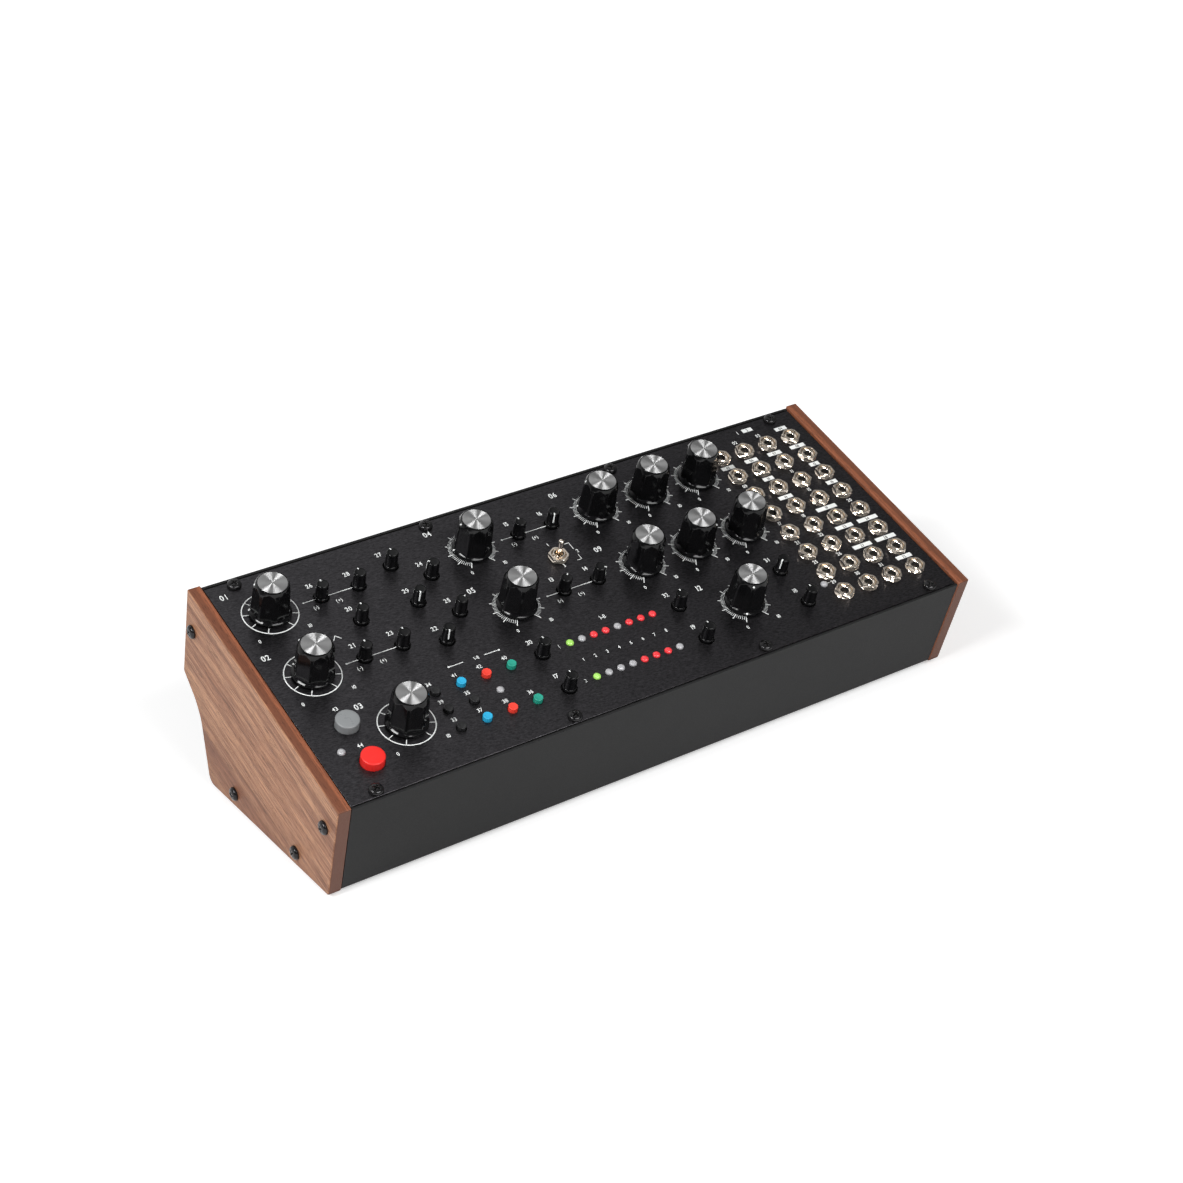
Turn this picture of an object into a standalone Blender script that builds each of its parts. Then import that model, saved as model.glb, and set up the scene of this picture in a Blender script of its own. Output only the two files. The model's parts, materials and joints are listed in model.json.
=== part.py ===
"""A desktop analogue sequencer and synthesiser voice in a sloping steel case with wooden cheeks.

Metres, +Z up, +X to the right and +Y to the rear. The origin is under the middle of the case, on the
surface that it stands on. Everything on the sloping panel is placed in the panel's own frame: x along
the panel, y up its slope and z out of its face, with zero at the middle of the face.
"""

import math

import bmesh
import bpy
from mathutils import Matrix, Vector

# Clearances that every piece shares
seat_gap = 0.0003  # between pieces that touch on the real object
overrun = 0.0010  # how far a cutter passes the face that it opens
fuse_depth = 0.0004  # how far a fused shape reaches into the one that carries it
hidden_sides = 6  # facets of a round hole that something covers

# Panel
panel_width = 0.3040
panel_height = 0.1282
panel_thickness = 0.0020
panel_chamfer = 0.0003
panel_tilt = math.radians(21.5)

# Case of folded sheet
sheet_thickness = 0.0011
panel_gap = 0.00035  # open line round the panel
fold_radius = 0.0016

# Cheeks
cheek_thickness = 0.0059
cheek_margin = 0.00035  # how far a cheek stands past the case, front, rear and below
cheek_proud = 0.0010  # how far a cheek's top edge stands above the panel's face
cheek_front_height = 0.0507  # front edge, square to the panel
cheek_rear_height = 0.0485  # rear edge, square to the panel, down to the kink
cheek_overhang = 0.0116  # kink beyond the upright lower rear edge
sweep_angle = math.radians(38.5)  # of the undercut below the kink, from upright
sweep_radius = 0.0220
heel_radius = 0.0044
kink_radius = 0.0015
edge_break = 0.0004

# Feet
foot_stand = 0.0020  # the cheeks' clearance over the table
foot_radius = 0.0065
foot_taper = 0.0006
foot_sides = 12
foot_reach_shares = (0.44, 0.36)  # of the case's width and of the depth of its underside

# Screws, all one size
screw_head_radius = 0.00305
screw_head_height = 0.0020
screw_crown_share = 0.62  # the crown's radius, as a share of the head's
screw_sides = 8
screw_shank_radius = 0.0015
screw_panel_inset_x = 0.0115  # from the panel's short edge
screw_panel_inset_y = 0.0031  # from its long edge
screw_inner_share = 0.16  # of the panel's width, to the inner pair of a row
screw_panel_length = 0.0068
screw_cheek_length = 0.0050  # past the inside of the case's side
cheek_screw_shares = ((0.950, 0.792), (0.752, 0.077), (-0.041, 0.359), (0.239, 0.073))  # of depth, height

# Tapped bars under the panel's long edges
bar_width = 0.0070
bar_depth = 0.0060

# Circuit boards, carried under the panel
board_thickness = 0.0016
control_board_drop = 0.0075  # panel's back to board
jack_board_drop = 0.0090
board_height_share = 0.82  # of the panel's height
board_split_share = 0.3065  # of the panel's width: the line between the two boards
board_split = 0.0026
board_side_margin = 0.0022
spacer_radius = 0.0020
spacer_shares = (
    (-0.482, -0.375),
    (-0.482, 0.375),
    (-0.090, -0.388),
    (0.090, 0.388),
    (0.296, -0.388),
    (0.296, 0.388),
)

# Large knobs
knob_sides = 7
knob_foot_gap = 0.0006  # under the skirt
knob_skirt_radius = 0.0090
knob_skirt_lip = 0.0014
knob_skirt_height = 0.0036
knob_body_foot_radius = 0.0083  # at a corner
knob_body_top_radius = 0.0075  # at a corner
knob_body_height = 0.0160
knob_rim_radius = 0.0066
knob_height = 0.0177
knob_shaft_radius = 0.0030

# Small knobs
pin_knob_sides = 8
pin_knob_foot_gap = 0.0005
pin_knob_flange_radius = 0.0034
pin_knob_flange_height = 0.0017
pin_knob_body_foot_radius = 0.0029
pin_knob_body_top_radius = 0.0026
pin_knob_height = 0.0082
pin_knob_shaft_radius = 0.0021

# Rotary controls under the knobs
pot_width = 0.0098
pot_length = 0.0112

# Push buttons
large_button_radius = 0.0050
large_button_rise = 0.0037
large_button_travel = 0.0007
large_button_sides = 12
small_button_radius = 0.0020
small_button_rise = 0.0020
small_button_travel = 0.0004
small_button_sides = 8
button_edge = 0.0004
button_flange = 0.0008  # how far the flange under the panel stands out
push_switch_size = 0.0060
push_switch_height = 0.0035

# Lamps
lamp_radius = 0.00155
lamp_rise = 0.0007
lamp_crown_share = 0.6
lamp_sides = 6

# Toggle switch
toggle_body_width = 0.0090
toggle_body_length = 0.0080
toggle_bushing_wall = 0.0009
toggle_bushing_rise = 0.0029
toggle_ball_radius = 0.0018
toggle_lever_root_radius = 0.0008
toggle_lever_tip_radius = 0.00125
toggle_lever_length = 0.0106
toggle_sides = 8

# Hex nuts of the jacks and the toggle
nut_across_flats = 0.0080
nut_height = 0.0021
nut_sides = 6
nut_turn_step = math.radians(17)

# Miniature jacks
jack_columns = 4
jack_rows = 8
jack_first_column_share = 0.3327
jack_first_row_share = 0.3612
jack_pitch_shares = (0.0446, 0.1058)  # of the panel's width and of its height
jack_body_size = 0.0090
jack_barrel_radius = 0.0030
jack_bore_radius = 0.0018
jack_bore_depth = 0.0110
jack_bore_sides = 8

# Output jack and power inlet in the upper rear wall
output_jack_share = 0.342  # of the case's width
output_body_width = 0.0150
output_body_height = 0.0130
output_body_depth = 0.0240
output_bushing_radius = 0.0047
output_bore_radius = 0.00325
output_bore_depth = 0.0220
output_nut_radius = 0.0073
output_nut_height = 0.0024
output_thread_show = 0.0005
power_inlet_share = 0.430
power_body_width = 0.0100
power_body_height = 0.0110
power_body_depth = 0.0125
power_collar_radius = 0.0045
power_bore_radius = 0.0031
power_bore_depth = 0.0100
power_pin_radius = 0.0010
power_pin_inset = 0.0010
rear_parts_gap = 0.00221  # under the jack board
rear_round_sides = 12

# Places on the panel, as shares of its width and height
large_knob_shares = {
    "oscillator_pitch_knob": (-0.4414, 0.3175),
    "modulator_pitch_knob": (-0.4414, 0.0234),
    "tempo_knob": (-0.3702, -0.2769),
    "wavefolder_knob": (-0.1227, 0.3175),
    "cutoff_knob": (-0.1227, 0.0234),
    "fold_bias_knob": (0.0908, 0.3175),
    "blend_knob": (0.1827, 0.3175),
    "volume_knob": (0.2735, 0.3175),
    "resonance_knob": (0.0908, 0.0234),
    "filter_mode_knob": (0.1827, 0.0234),
    "source_mix_knob": (0.2735, 0.0234),
    "envelope_mix_knob": (0.1827, -0.2769),
}
small_knob_shares = {
    "oscillator_envelope_knob": (-0.3639, 0.3151),
    "oscillator_sequence_knob": (-0.3057, 0.3151),
    "modulation_amount_knob": (-0.3347, 0.1708),
    "modulator_envelope_knob": (-0.3639, 0.0203),
    "modulator_sequence_knob": (-0.3057, 0.0203),
    "oscillator_level_knob": (-0.2455, 0.3548),
    "noise_level_knob": (-0.2018, 0.2620),
    "ring_level_knob": (-0.2455, 0.1692),
    "noise_tone_knob": (-0.2018, 0.0750),
    "modulator_level_knob": (-0.2455, -0.0200),
    "folder_envelope_knob": (-0.0448, 0.3151),
    "folder_sequence_knob": (0.0127, 0.3151),
    "filter_envelope_knob": (-0.0448, 0.0203),
    "filter_sequence_knob": (0.0127, 0.0203),
    "upper_corrupt_knob": (-0.1388, -0.1997),
    "lower_corrupt_knob": (-0.1388, -0.3627),
    "upper_range_knob": (0.0907, -0.1997),
    "lower_range_knob": (0.0907, -0.3627),
    "upper_decay_knob": (0.2722, -0.1997),
    "lower_decay_knob": (0.2722, -0.3627),
}
large_button_shares = {
    "trigger_button": (-0.4428, -0.2067),
    "run_button": (-0.4428, -0.3697),
}
small_button_shares = {
    "buffer_button": (-0.3092, -0.2045),
    "reset_button": (-0.3092, -0.2855),
    "advance_button": (-0.3092, -0.3670),
    "chain_button": (-0.2690, -0.2860),
    "upper_length_button": (-0.2690, -0.2030),
    "upper_shift_button": (-0.2295, -0.2030),
    "upper_flip_button": (-0.1898, -0.2030),
    "lower_length_button": (-0.2690, -0.3655),
    "lower_shift_button": (-0.2295, -0.3655),
    "lower_flip_button": (-0.1898, -0.3655),
}
bit_lamps = 8
bit_lamp_start_share = -0.0921
bit_lamp_pitch_share = 0.0198
bit_lamp_row_shares = (-0.1930, -0.3569)
single_lamp_shares = ((-0.4720, -0.2995), (-0.2263, -0.2777))
jack_lamp_shares = (0.3160, -0.3167)
toggle_shares = (-0.0164, 0.1638)

# Where a knob's pointer stands at rest, in degrees clockwise from up the slope; the rest point up it
pointer_degrees = {
    "oscillator_pitch_knob": -66,
    "modulator_pitch_knob": -39,
    "tempo_knob": 60,
    "wavefolder_knob": -84,
    "fold_bias_knob": -64,
    "blend_knob": -12,
    "volume_knob": 77,
    "resonance_knob": 25,
    "filter_mode_knob": 144,
    "source_mix_knob": 78,
    "envelope_mix_knob": -150,
    "noise_level_knob": -60,
    "ring_level_knob": -150,
    "noise_tone_knob": 60,
    "modulator_level_knob": -150,
    "folder_sequence_knob": -150,
    "filter_envelope_knob": 39,
    "filter_sequence_knob": 130,
    "upper_decay_knob": -120,
}

# Finishes, each a colour, a roughness and, for metals, how metallic it is
black_steel = ((0.028, 0.028, 0.03), 0.45, 0.3)
black_anodised = ((0.035, 0.034, 0.037), 0.4, 0.6)
walnut = ((0.30, 0.13, 0.065), 0.5)
gloss_black = ((0.006, 0.006, 0.007), 0.2)
nickel = ((0.75, 0.68, 0.6), 0.25, 1.0)
circuit_green = ((0.02, 0.12, 0.05), 0.5)
rubber = ((0.01, 0.01, 0.01), 0.85)
bare_steel = ((0.5, 0.5, 0.5), 0.35, 1.0)
cap_finishes = {
    "trigger": ((0.2, 0.21, 0.21), 0.4),
    "run": ((0.9, 0.02, 0.015), 0.35),
    "length": ((0.02, 0.4, 0.72), 0.35),
    "shift": ((0.9, 0.06, 0.035), 0.35),
    "flip": ((0.02, 0.35, 0.24), 0.35),
}
smooth_angle = math.radians(35)

# Sizes that follow from the ones above
case_width = panel_width + 2 * (panel_gap + sheet_thickness)
cheek_length = panel_height + 2 * (panel_gap + sheet_thickness + cheek_margin)
up_slope = Vector((math.cos(panel_tilt), math.sin(panel_tilt)))
outward = Vector((-math.sin(panel_tilt), math.cos(panel_tilt)))
front_bottom = Vector((0, 0))
front_top = outward * cheek_front_height
rear_top = front_top + up_slope * cheek_length
rear_kink = rear_top - outward * cheek_rear_height
rear_bottom = Vector((rear_kink.x - cheek_overhang, 0))
panel_middle = front_top + up_slope * (cheek_length / 2) - outward * cheek_proud
inner_half = panel_height / 2 + panel_gap
board_half_height = panel_height * board_height_share / 2
board_split_x = panel_width * board_split_share
panel_back = -panel_thickness
under_panel = panel_back - seat_gap
nut_radius = nut_across_flats / 2 / math.cos(math.pi / nut_sides)
jack_board_under = panel_thickness + jack_board_drop + board_thickness
rear_parts_drop = cheek_proud + jack_board_under + rear_parts_gap + output_body_height / 2
toggle_bore_radius = toggle_ball_radius + seat_gap


def clear_scene():
    for old in list(bpy.data.objects):
        bpy.data.objects.remove(old)


def material(name, colour, roughness, metallic=0.0):
    """One Principled material, named for the piece that wears it."""
    made = bpy.data.materials.new(name)
    made.use_nodes = True
    shader = made.node_tree.nodes["Principled BSDF"]
    shader.inputs["Base Color"].default_value = (*colour, 1)
    shader.inputs["Roughness"].default_value = roughness
    shader.inputs["Metallic"].default_value = metallic
    return made


def new_object(name, shape, finish, parent=None, place=(0, 0, 0), turn=0.0):
    """A named object from a bmesh, with its own material, at a place in its parent's frame."""
    bmesh.ops.recalc_face_normals(shape, faces=shape.faces)
    mesh = bpy.data.meshes.new(name)
    shape.to_mesh(mesh)
    shape.free()
    made = bpy.data.objects.new(name, mesh)
    bpy.context.scene.collection.objects.link(made)
    made.parent = parent
    made.location = place
    made.rotation_euler = (0, 0, turn)
    mesh.materials.append(material(name + "_finish", *finish))
    return made


def smooth_round(made):
    made.data.shade_smooth()
    made.data.set_sharp_from_angle(angle=smooth_angle)


def helper(name, shape, parent=None):
    """A shape that another object is cut or joined with; it is no piece of the object."""
    made = new_object(name, shape, bare_steel, parent)
    made.hide_render = True
    made.display_type = "WIRE"
    return made


def combine(made, other, operation):
    modifier = made.modifiers.new(other.name, "BOOLEAN")
    modifier.operation = operation
    modifier.solver = "EXACT"
    modifier.object = other


def ring(shape, radius_at, height, sides, centre, phase):
    """Points round a circle or a polygon; the angle runs anticlockwise from up the panel."""
    points = []
    for step in range(sides):
        angle = phase + 2 * math.pi * step / sides
        radius = radius_at(step)
        x = centre[0] - radius * math.sin(angle)
        y = centre[1] + radius * math.cos(angle)
        points.append(shape.verts.new((x, y, height)))
    return points


def turned(shape, profile, sides, centre=(0, 0), phase=0.0):
    """A closed solid from rings of (radius, height); a radius may be a function of the step."""
    rings = []
    for radius, height in profile:
        radius_at = radius if callable(radius) else lambda step, fixed=radius: fixed
        rings.append(ring(shape, radius_at, height, sides, centre, phase))
    for lower, upper in zip(rings, rings[1:]):
        for step in range(sides):
            after = (step + 1) % sides
            shape.faces.new((lower[step], lower[after], upper[after], upper[step]))
    shape.faces.new(rings[0][::-1])
    shape.faces.new(rings[-1])


def block(shape, low, high):
    centre = (Vector(low) + Vector(high)) / 2
    size = Vector(high) - Vector(low)
    bmesh.ops.create_cube(shape, size=1, matrix=Matrix.Translation(centre) @ Matrix.Diagonal((*size, 1)))


def block_at(shape, centre, width, length, bottom, top):
    low = (centre[0] - width / 2, centre[1] - length / 2, bottom)
    high = (centre[0] + width / 2, centre[1] + length / 2, top)
    block(shape, low, high)


def clearance(radius):
    """Corner radius of a hidden hole whose flats keep the gap to a round piece."""
    return (radius + seat_gap) / math.cos(math.pi / hidden_sides)


def on_panel(shares):
    return (shares[0] * panel_width, shares[1] * panel_height)


def knob_places():
    return [on_panel(shares) for shares in (large_knob_shares | small_knob_shares).values()]


def button_places():
    return [on_panel(shares) for shares in (large_button_shares | small_button_shares).values()]


def panel_screw_places():
    outer_x = panel_width / 2 - screw_panel_inset_x
    inner_x = panel_width * screw_inner_share
    y = panel_height / 2 - screw_panel_inset_y
    return [(x, side * y) for side in (-1, 1) for x in (-outer_x, -inner_x, inner_x, outer_x)]


def jack_places():
    first = (jack_first_column_share * panel_width, jack_first_row_share * panel_height)
    pitch = (jack_pitch_shares[0] * panel_width, jack_pitch_shares[1] * panel_height)
    return [
        (first[0] + column * pitch[0], first[1] - row * pitch[1])
        for row in range(jack_rows)
        for column in range(jack_columns)
    ]


def control_lamp_places():
    rows = [
        (panel_width * (bit_lamp_start_share + step * bit_lamp_pitch_share), panel_height * row_share)
        for row_share in bit_lamp_row_shares
        for step in range(bit_lamps)
    ]
    return rows + [on_panel(place) for place in single_lamp_shares]


def place_in(shape, part, matrix):
    """Moves a bmesh's solid by a matrix and adds it to another bmesh."""
    bmesh.ops.transform(part, matrix=matrix, verts=part.verts)
    mesh = bpy.data.meshes.new("carried")
    part.to_mesh(mesh)
    part.free()
    shape.from_mesh(mesh)
    bpy.data.meshes.remove(mesh)


def screw(shape, length, matrix):
    """A pan-head screw: its head stands on the plane z = 0 and its shank runs down from there."""
    head = screw_head_radius
    profile = [
        (screw_shank_radius, -length),
        (screw_shank_radius, -fuse_depth),
        (head, -fuse_depth),
        (head, screw_head_height / 2),
        (head * screw_crown_share, screw_head_height),
    ]
    part = bmesh.new()
    turned(part, profile, screw_sides)
    place_in(shape, part, matrix)


def screw_hole(shape, low, high, matrix):
    """A clearance hole for a screw's shank, drawn along z from low to high."""
    part = bmesh.new()
    radius = clearance(screw_shank_radius)
    turned(part, [(radius, low), (radius, high)], hidden_sides)
    place_in(shape, part, matrix)


def outline(inset, top_drop):
    """Corners of the side outline as (y, z), its lines moved inwards by an inset and the top by a drop."""
    sweep = Vector((math.sin(sweep_angle), math.cos(sweep_angle)))
    sweep_inward = Vector((-sweep.y, sweep.x))
    level = Vector((1, 0))
    upright = Vector((0, 1))
    lines = [
        (front_top + up_slope * inset, outward),
        (front_bottom + upright * inset, level),
        (rear_bottom - level * inset, upright),
        (rear_kink + sweep_inward * inset, sweep),
        (rear_top - up_slope * inset, outward),
        (rear_top - outward * top_drop, up_slope),
    ]
    corners = []
    for (place, way), (next_place, next_way) in zip(lines, lines[1:] + lines[:1]):
        turn = way.x * next_way.y - way.y * next_way.x
        gap = next_place - place
        corners.append(place + way * ((gap.x * next_way.y - gap.y * next_way.x) / turn))
    return corners


def rounded(corners, radii, steps):
    """The outline with an arc in each corner that has a radius."""
    points = []
    for index, corner in enumerate(corners):
        radius = radii[index]
        before = (corners[index - 1] - corner).normalized()
        after = (corners[(index + 1) % len(corners)] - corner).normalized()
        if radius == 0:
            points.append(corner)
            continue
        half = before.angle(after) / 2
        middle = corner + (before + after).normalized() * (radius / math.sin(half))
        start = corner + before * (radius / math.tan(half)) - middle
        end = corner + after * (radius / math.tan(half)) - middle
        for step in range(steps[index] + 1):
            share = step / steps[index]
            spoke = start.lerp(end, share).normalized() * radius
            points.append(middle + spoke)
    return points


def side_outline(inset, top_drop=0.0):
    """Corners in order: front foot, heel, sweep, kink, rear top, front top."""
    radii = (fold_radius, heel_radius - inset, sweep_radius + inset, kink_radius, 0, 0)
    arc_steps = (2, 4, 5, 2, 0, 0)
    return rounded(outline(inset, top_drop), radii, arc_steps)


def depth_middle():
    """The middle of the cheeks' depth, which lies over the origin."""
    depths = [point.x for point in side_outline(0)]
    return (min(depths) + max(depths)) / 2


middle_depth = depth_middle()


def prism(shape, points, left, right):
    """A side outline drawn across from x = left to x = right, standing on the cheeks' clearance."""
    lifted = [(point.x - middle_depth, point.y + foot_stand) for point in points]
    near = [shape.verts.new((left, y, z)) for y, z in lifted]
    far = [shape.verts.new((right, y, z)) for y, z in lifted]
    count = len(points)
    shape.faces.new(near)
    shape.faces.new(far[::-1])
    for step in range(count):
        after = (step + 1) % count
        shape.faces.new((near[step], far[step], far[after], near[after]))


def cheek_screw_places():
    """(y, z) of a cheek's four screws."""
    places = []
    for depth_share, height_share in cheek_screw_shares:
        y = depth_share * rear_bottom.x - middle_depth
        z = height_share * rear_top.y + foot_stand
        places.append((y, z))
    return places


def across(side, place):
    """Turns a screw's axis to +X or -X, with its head's seat on the cheek's outer face."""
    face = side * (case_width / 2 + seat_gap + cheek_thickness)
    return Matrix.Translation((face, place[0], place[1])) @ Matrix.Rotation(side * math.pi / 2, 4, "Y")


def build_case():
    """The folded case: one shell, open at the top, with the panel let in flush with its rim."""
    shape = bmesh.new()
    prism(shape, side_outline(cheek_margin, cheek_proud), -case_width / 2, case_width / 2)
    case = new_object("case_shell", shape, black_steel)

    hollow = bmesh.new()
    inner_half_width = case_width / 2 - sheet_thickness
    inner_outline = side_outline(cheek_margin + sheet_thickness, -overrun)
    prism(hollow, inner_outline, -inner_half_width, inner_half_width)
    combine(case, helper("case_hollow", hollow), "DIFFERENCE")

    holes = bmesh.new()
    reach = case_width / 2 + overrun
    for place in cheek_screw_places():
        move = Matrix.Translation((0, place[0], place[1])) @ Matrix.Rotation(math.pi / 2, 4, "Y")
        screw_hole(holes, -reach, reach, move)
    wall_reach = sheet_thickness + overrun
    necks = ((output_jack_share, output_bushing_radius), (power_inlet_share, power_collar_radius))
    for share, radius in necks:
        hole = bmesh.new()
        turned(hole, [(radius + seat_gap, -wall_reach), (radius + seat_gap, wall_reach)], rear_round_sides)
        place_in(holes, hole, rear_wall_matrix(share))
    combine(case, helper("case_holes", holes), "DIFFERENCE")
    smooth_round(case)


def rear_wall_matrix(share):
    """A place on the upper rear wall's outer face, with its z axis pointing out of the wall."""
    place = rear_top - outward * rear_parts_drop - up_slope * cheek_margin
    middle = Matrix.Translation((share * case_width, place.x - middle_depth, place.y + foot_stand))
    return middle @ Matrix.Rotation(panel_tilt - math.pi / 2, 4, "X")


def build_cheek(name, side):
    shape = bmesh.new()
    inner = side * (case_width / 2 + seat_gap)
    outer = inner + side * cheek_thickness
    prism(shape, side_outline(0), min(inner, outer), max(inner, outer))
    rim = [edge for edge in shape.edges if all(abs(vert.co.x - outer) < edge_break for vert in edge.verts)]
    bmesh.ops.bevel(shape, geom=rim, offset=edge_break, segments=1, affect="EDGES")
    cheek = new_object(name, shape, walnut)
    screws = bmesh.new()
    length = cheek_thickness + seat_gap + sheet_thickness + screw_cheek_length
    for place in cheek_screw_places():
        screw(screws, length, across(side, place))
    combine(cheek, helper(name + "_screws", screws), "UNION")
    smooth_round(cheek)


def build_feet():
    """Four round rubber feet under the case, narrower where they stand."""
    depth = rear_bottom.x
    reach_x = foot_reach_shares[0] * case_width
    reach_y = foot_reach_shares[1] * depth
    middle_y = depth / 2 - middle_depth
    top = foot_stand + cheek_margin - seat_gap
    corners = {
        "front_left_foot": (-reach_x, middle_y - reach_y),
        "front_right_foot": (reach_x, middle_y - reach_y),
        "rear_left_foot": (-reach_x, middle_y + reach_y),
        "rear_right_foot": (reach_x, middle_y + reach_y),
    }
    for name, place in corners.items():
        shape = bmesh.new()
        profile = [(foot_radius - foot_taper, 0), (foot_radius, top - foot_taper), (foot_radius, top)]
        turned(shape, profile, foot_sides)
        smooth_round(new_object(name, shape, rubber, place=(*place, 0)))


def build_bars(frame):
    for name, side in (("front_bar", -1), ("rear_bar", 1)):
        shape = bmesh.new()
        outer = side * (inner_half - seat_gap)
        inner = outer - side * bar_width
        half = panel_width / 2 + panel_gap - seat_gap
        low = (-half, min(outer, inner), under_panel - bar_depth)
        high = (half, max(outer, inner), under_panel)
        block(shape, low, high)
        bar = new_object(name, shape, bare_steel, frame)
        holes = bmesh.new()
        for place in panel_screw_places():
            if place[1] * side > 0:
                screw_hole(holes, low[2] - overrun, high[2] + overrun, Matrix.Translation((*place, 0)))
        combine(bar, helper(name + "_holes", holes, frame), "DIFFERENCE")


def build_panel(frame):
    shape = bmesh.new()
    block(shape, (-panel_width / 2, -panel_height / 2, panel_back), (panel_width / 2, panel_height / 2, 0))
    rim = [edge for edge in shape.edges if all(vert.co.z > panel_back / 2 for vert in edge.verts)]
    bmesh.ops.bevel(shape, geom=rim, offset=panel_chamfer, segments=1, affect="EDGES")
    panel = new_object("front_panel", shape, black_anodised, frame)

    holes = bmesh.new()

    def hole(place, radius, sides):
        turned(holes, [(radius, panel_back - overrun), (radius, overrun)], sides, place)

    for shares in large_knob_shares.values():
        hole(on_panel(shares), clearance(knob_shaft_radius), hidden_sides)
    for shares in small_knob_shares.values():
        hole(on_panel(shares), clearance(pin_knob_shaft_radius), hidden_sides)
    for shares in large_button_shares.values():
        hole(on_panel(shares), large_button_radius + seat_gap, large_button_sides)
    for shares in small_button_shares.values():
        hole(on_panel(shares), small_button_radius + seat_gap, small_button_sides)
    for place in control_lamp_places() + [on_panel(jack_lamp_shares)]:
        hole(place, lamp_radius + seat_gap, lamp_sides)
    hole(on_panel(toggle_shares), clearance(toggle_bore_radius + toggle_bushing_wall), hidden_sides)
    for place in jack_places():
        hole(place, clearance(jack_barrel_radius), hidden_sides)
    combine(panel, helper("panel_holes", holes, frame), "DIFFERENCE")

    screws = bmesh.new()
    for place in panel_screw_places():
        screw(screws, panel_thickness + screw_panel_length, Matrix.Translation((*place, 0)))
    combine(panel, helper("panel_screws", screws, frame), "UNION")
    smooth_round(panel)


def lamp(shape, place, board_top):
    profile = [
        (lamp_radius, board_top - fuse_depth),
        (lamp_radius, lamp_rise / 2),
        (lamp_radius * lamp_crown_share, lamp_rise),
    ]
    turned(shape, profile, lamp_sides, place)


def build_control_board(frame):
    """The board with its rotary controls, push switches, lamps and spacers."""
    top = panel_back - control_board_drop
    left = -panel_width / 2 + board_side_margin
    shape = bmesh.new()
    block(shape, (left, -board_half_height, top - board_thickness), (board_split_x, board_half_height, top))
    board = new_object("control_board", shape, circuit_green, frame)
    pots = bmesh.new()
    for place in knob_places():
        block_at(pots, place, pot_width, pot_length, top - fuse_depth, under_panel)
    combine(board, helper("board_pots", pots, frame), "UNION")
    switches = bmesh.new()
    for place in button_places():
        switch_top = top + push_switch_height
        block_at(switches, place, push_switch_size, push_switch_size, top - fuse_depth, switch_top)
    combine(board, helper("board_switches", switches, frame), "UNION")
    lamps = bmesh.new()
    for place in control_lamp_places():
        lamp(lamps, place, top)
    combine(board, helper("board_lamps", lamps, frame), "UNION")
    spacers = bmesh.new()
    for shares in spacer_shares:
        spacer = [(spacer_radius, top - fuse_depth), (spacer_radius, under_panel)]
        turned(spacers, spacer, hidden_sides, on_panel(shares))
    combine(board, helper("board_spacers", spacers, frame), "UNION")


def build_jack_board(frame):
    """The board with its jacks: each a body, a barrel through the panel, a hex nut and a blind bore."""
    top = panel_back - jack_board_drop
    left = board_split_x + board_split
    right = panel_width / 2 - board_side_margin
    nut_top = seat_gap + nut_height
    shape = bmesh.new()
    block(shape, (left, -board_half_height, top - board_thickness), (right, board_half_height, top))
    board = new_object("jack_board", shape, circuit_green, frame)
    layers = {"jack_bodies": bmesh.new(), "jack_barrels": bmesh.new(), "jack_nuts": bmesh.new()}
    bores = bmesh.new()
    for index, place in enumerate(jack_places()):
        bodies, barrels, nuts = layers.values()
        block_at(bodies, place, jack_body_size, jack_body_size, top - fuse_depth, under_panel)
        barrel_ends = (under_panel - fuse_depth, seat_gap + fuse_depth)
        turned(barrels, [(jack_barrel_radius, end) for end in barrel_ends], hidden_sides, place)
        turned(nuts, [(nut_radius, seat_gap), (nut_radius, nut_top)], nut_sides, place, nut_turn(index))
        bore = [(jack_bore_radius, nut_top - jack_bore_depth), (jack_bore_radius, nut_top + overrun)]
        turned(bores, bore, jack_bore_sides, place)
    for name, layer in layers.items():
        combine(board, helper(name, layer, frame), "UNION")
    combine(board, helper("jack_bores", bores, frame), "DIFFERENCE")
    lamps = bmesh.new()
    lamp(lamps, on_panel(jack_lamp_shares), top)
    combine(board, helper("jack_lamp", lamps, frame), "UNION")


def nut_turn(index):
    """Nuts tightened by hand stop at different angles."""
    return index * nut_turn_step % (2 * math.pi / nut_sides)


def pointer_turn(name):
    return -math.radians(pointer_degrees.get(name, 0))


def large_knob(name, shares, frame):
    """A knob with its shaft: a round skirt, a grip with seven flats and a coned rim."""
    flat_share = math.cos(math.pi / knob_sides)

    def sided(corner_radius):
        return lambda step: corner_radius if step % 2 == 0 else corner_radius * flat_share

    profile = [
        (knob_shaft_radius, panel_back),
        (knob_shaft_radius, knob_foot_gap),
        (knob_skirt_radius, knob_foot_gap),
        (knob_skirt_radius, knob_foot_gap + knob_skirt_lip),
        (sided(knob_body_foot_radius), knob_skirt_height),
        (sided(knob_body_top_radius), knob_body_height),
        (knob_rim_radius, knob_height),
    ]
    shape = bmesh.new()
    turned(shape, profile, 2 * knob_sides)
    smooth_round(new_object(name, shape, gloss_black, frame, (*on_panel(shares), 0), pointer_turn(name)))


def small_knob(name, shares, frame):
    """A slim knob with its shaft: a sloped flange at the foot and a grip that narrows to the top."""
    profile = [
        (pin_knob_shaft_radius, panel_back),
        (pin_knob_shaft_radius, pin_knob_foot_gap),
        (pin_knob_flange_radius, pin_knob_foot_gap),
        (pin_knob_body_foot_radius, pin_knob_flange_height),
        (pin_knob_body_top_radius, pin_knob_height),
    ]
    shape = bmesh.new()
    turned(shape, profile, pin_knob_sides)
    smooth_round(new_object(name, shape, gloss_black, frame, (*on_panel(shares), 0), pointer_turn(name)))


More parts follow.
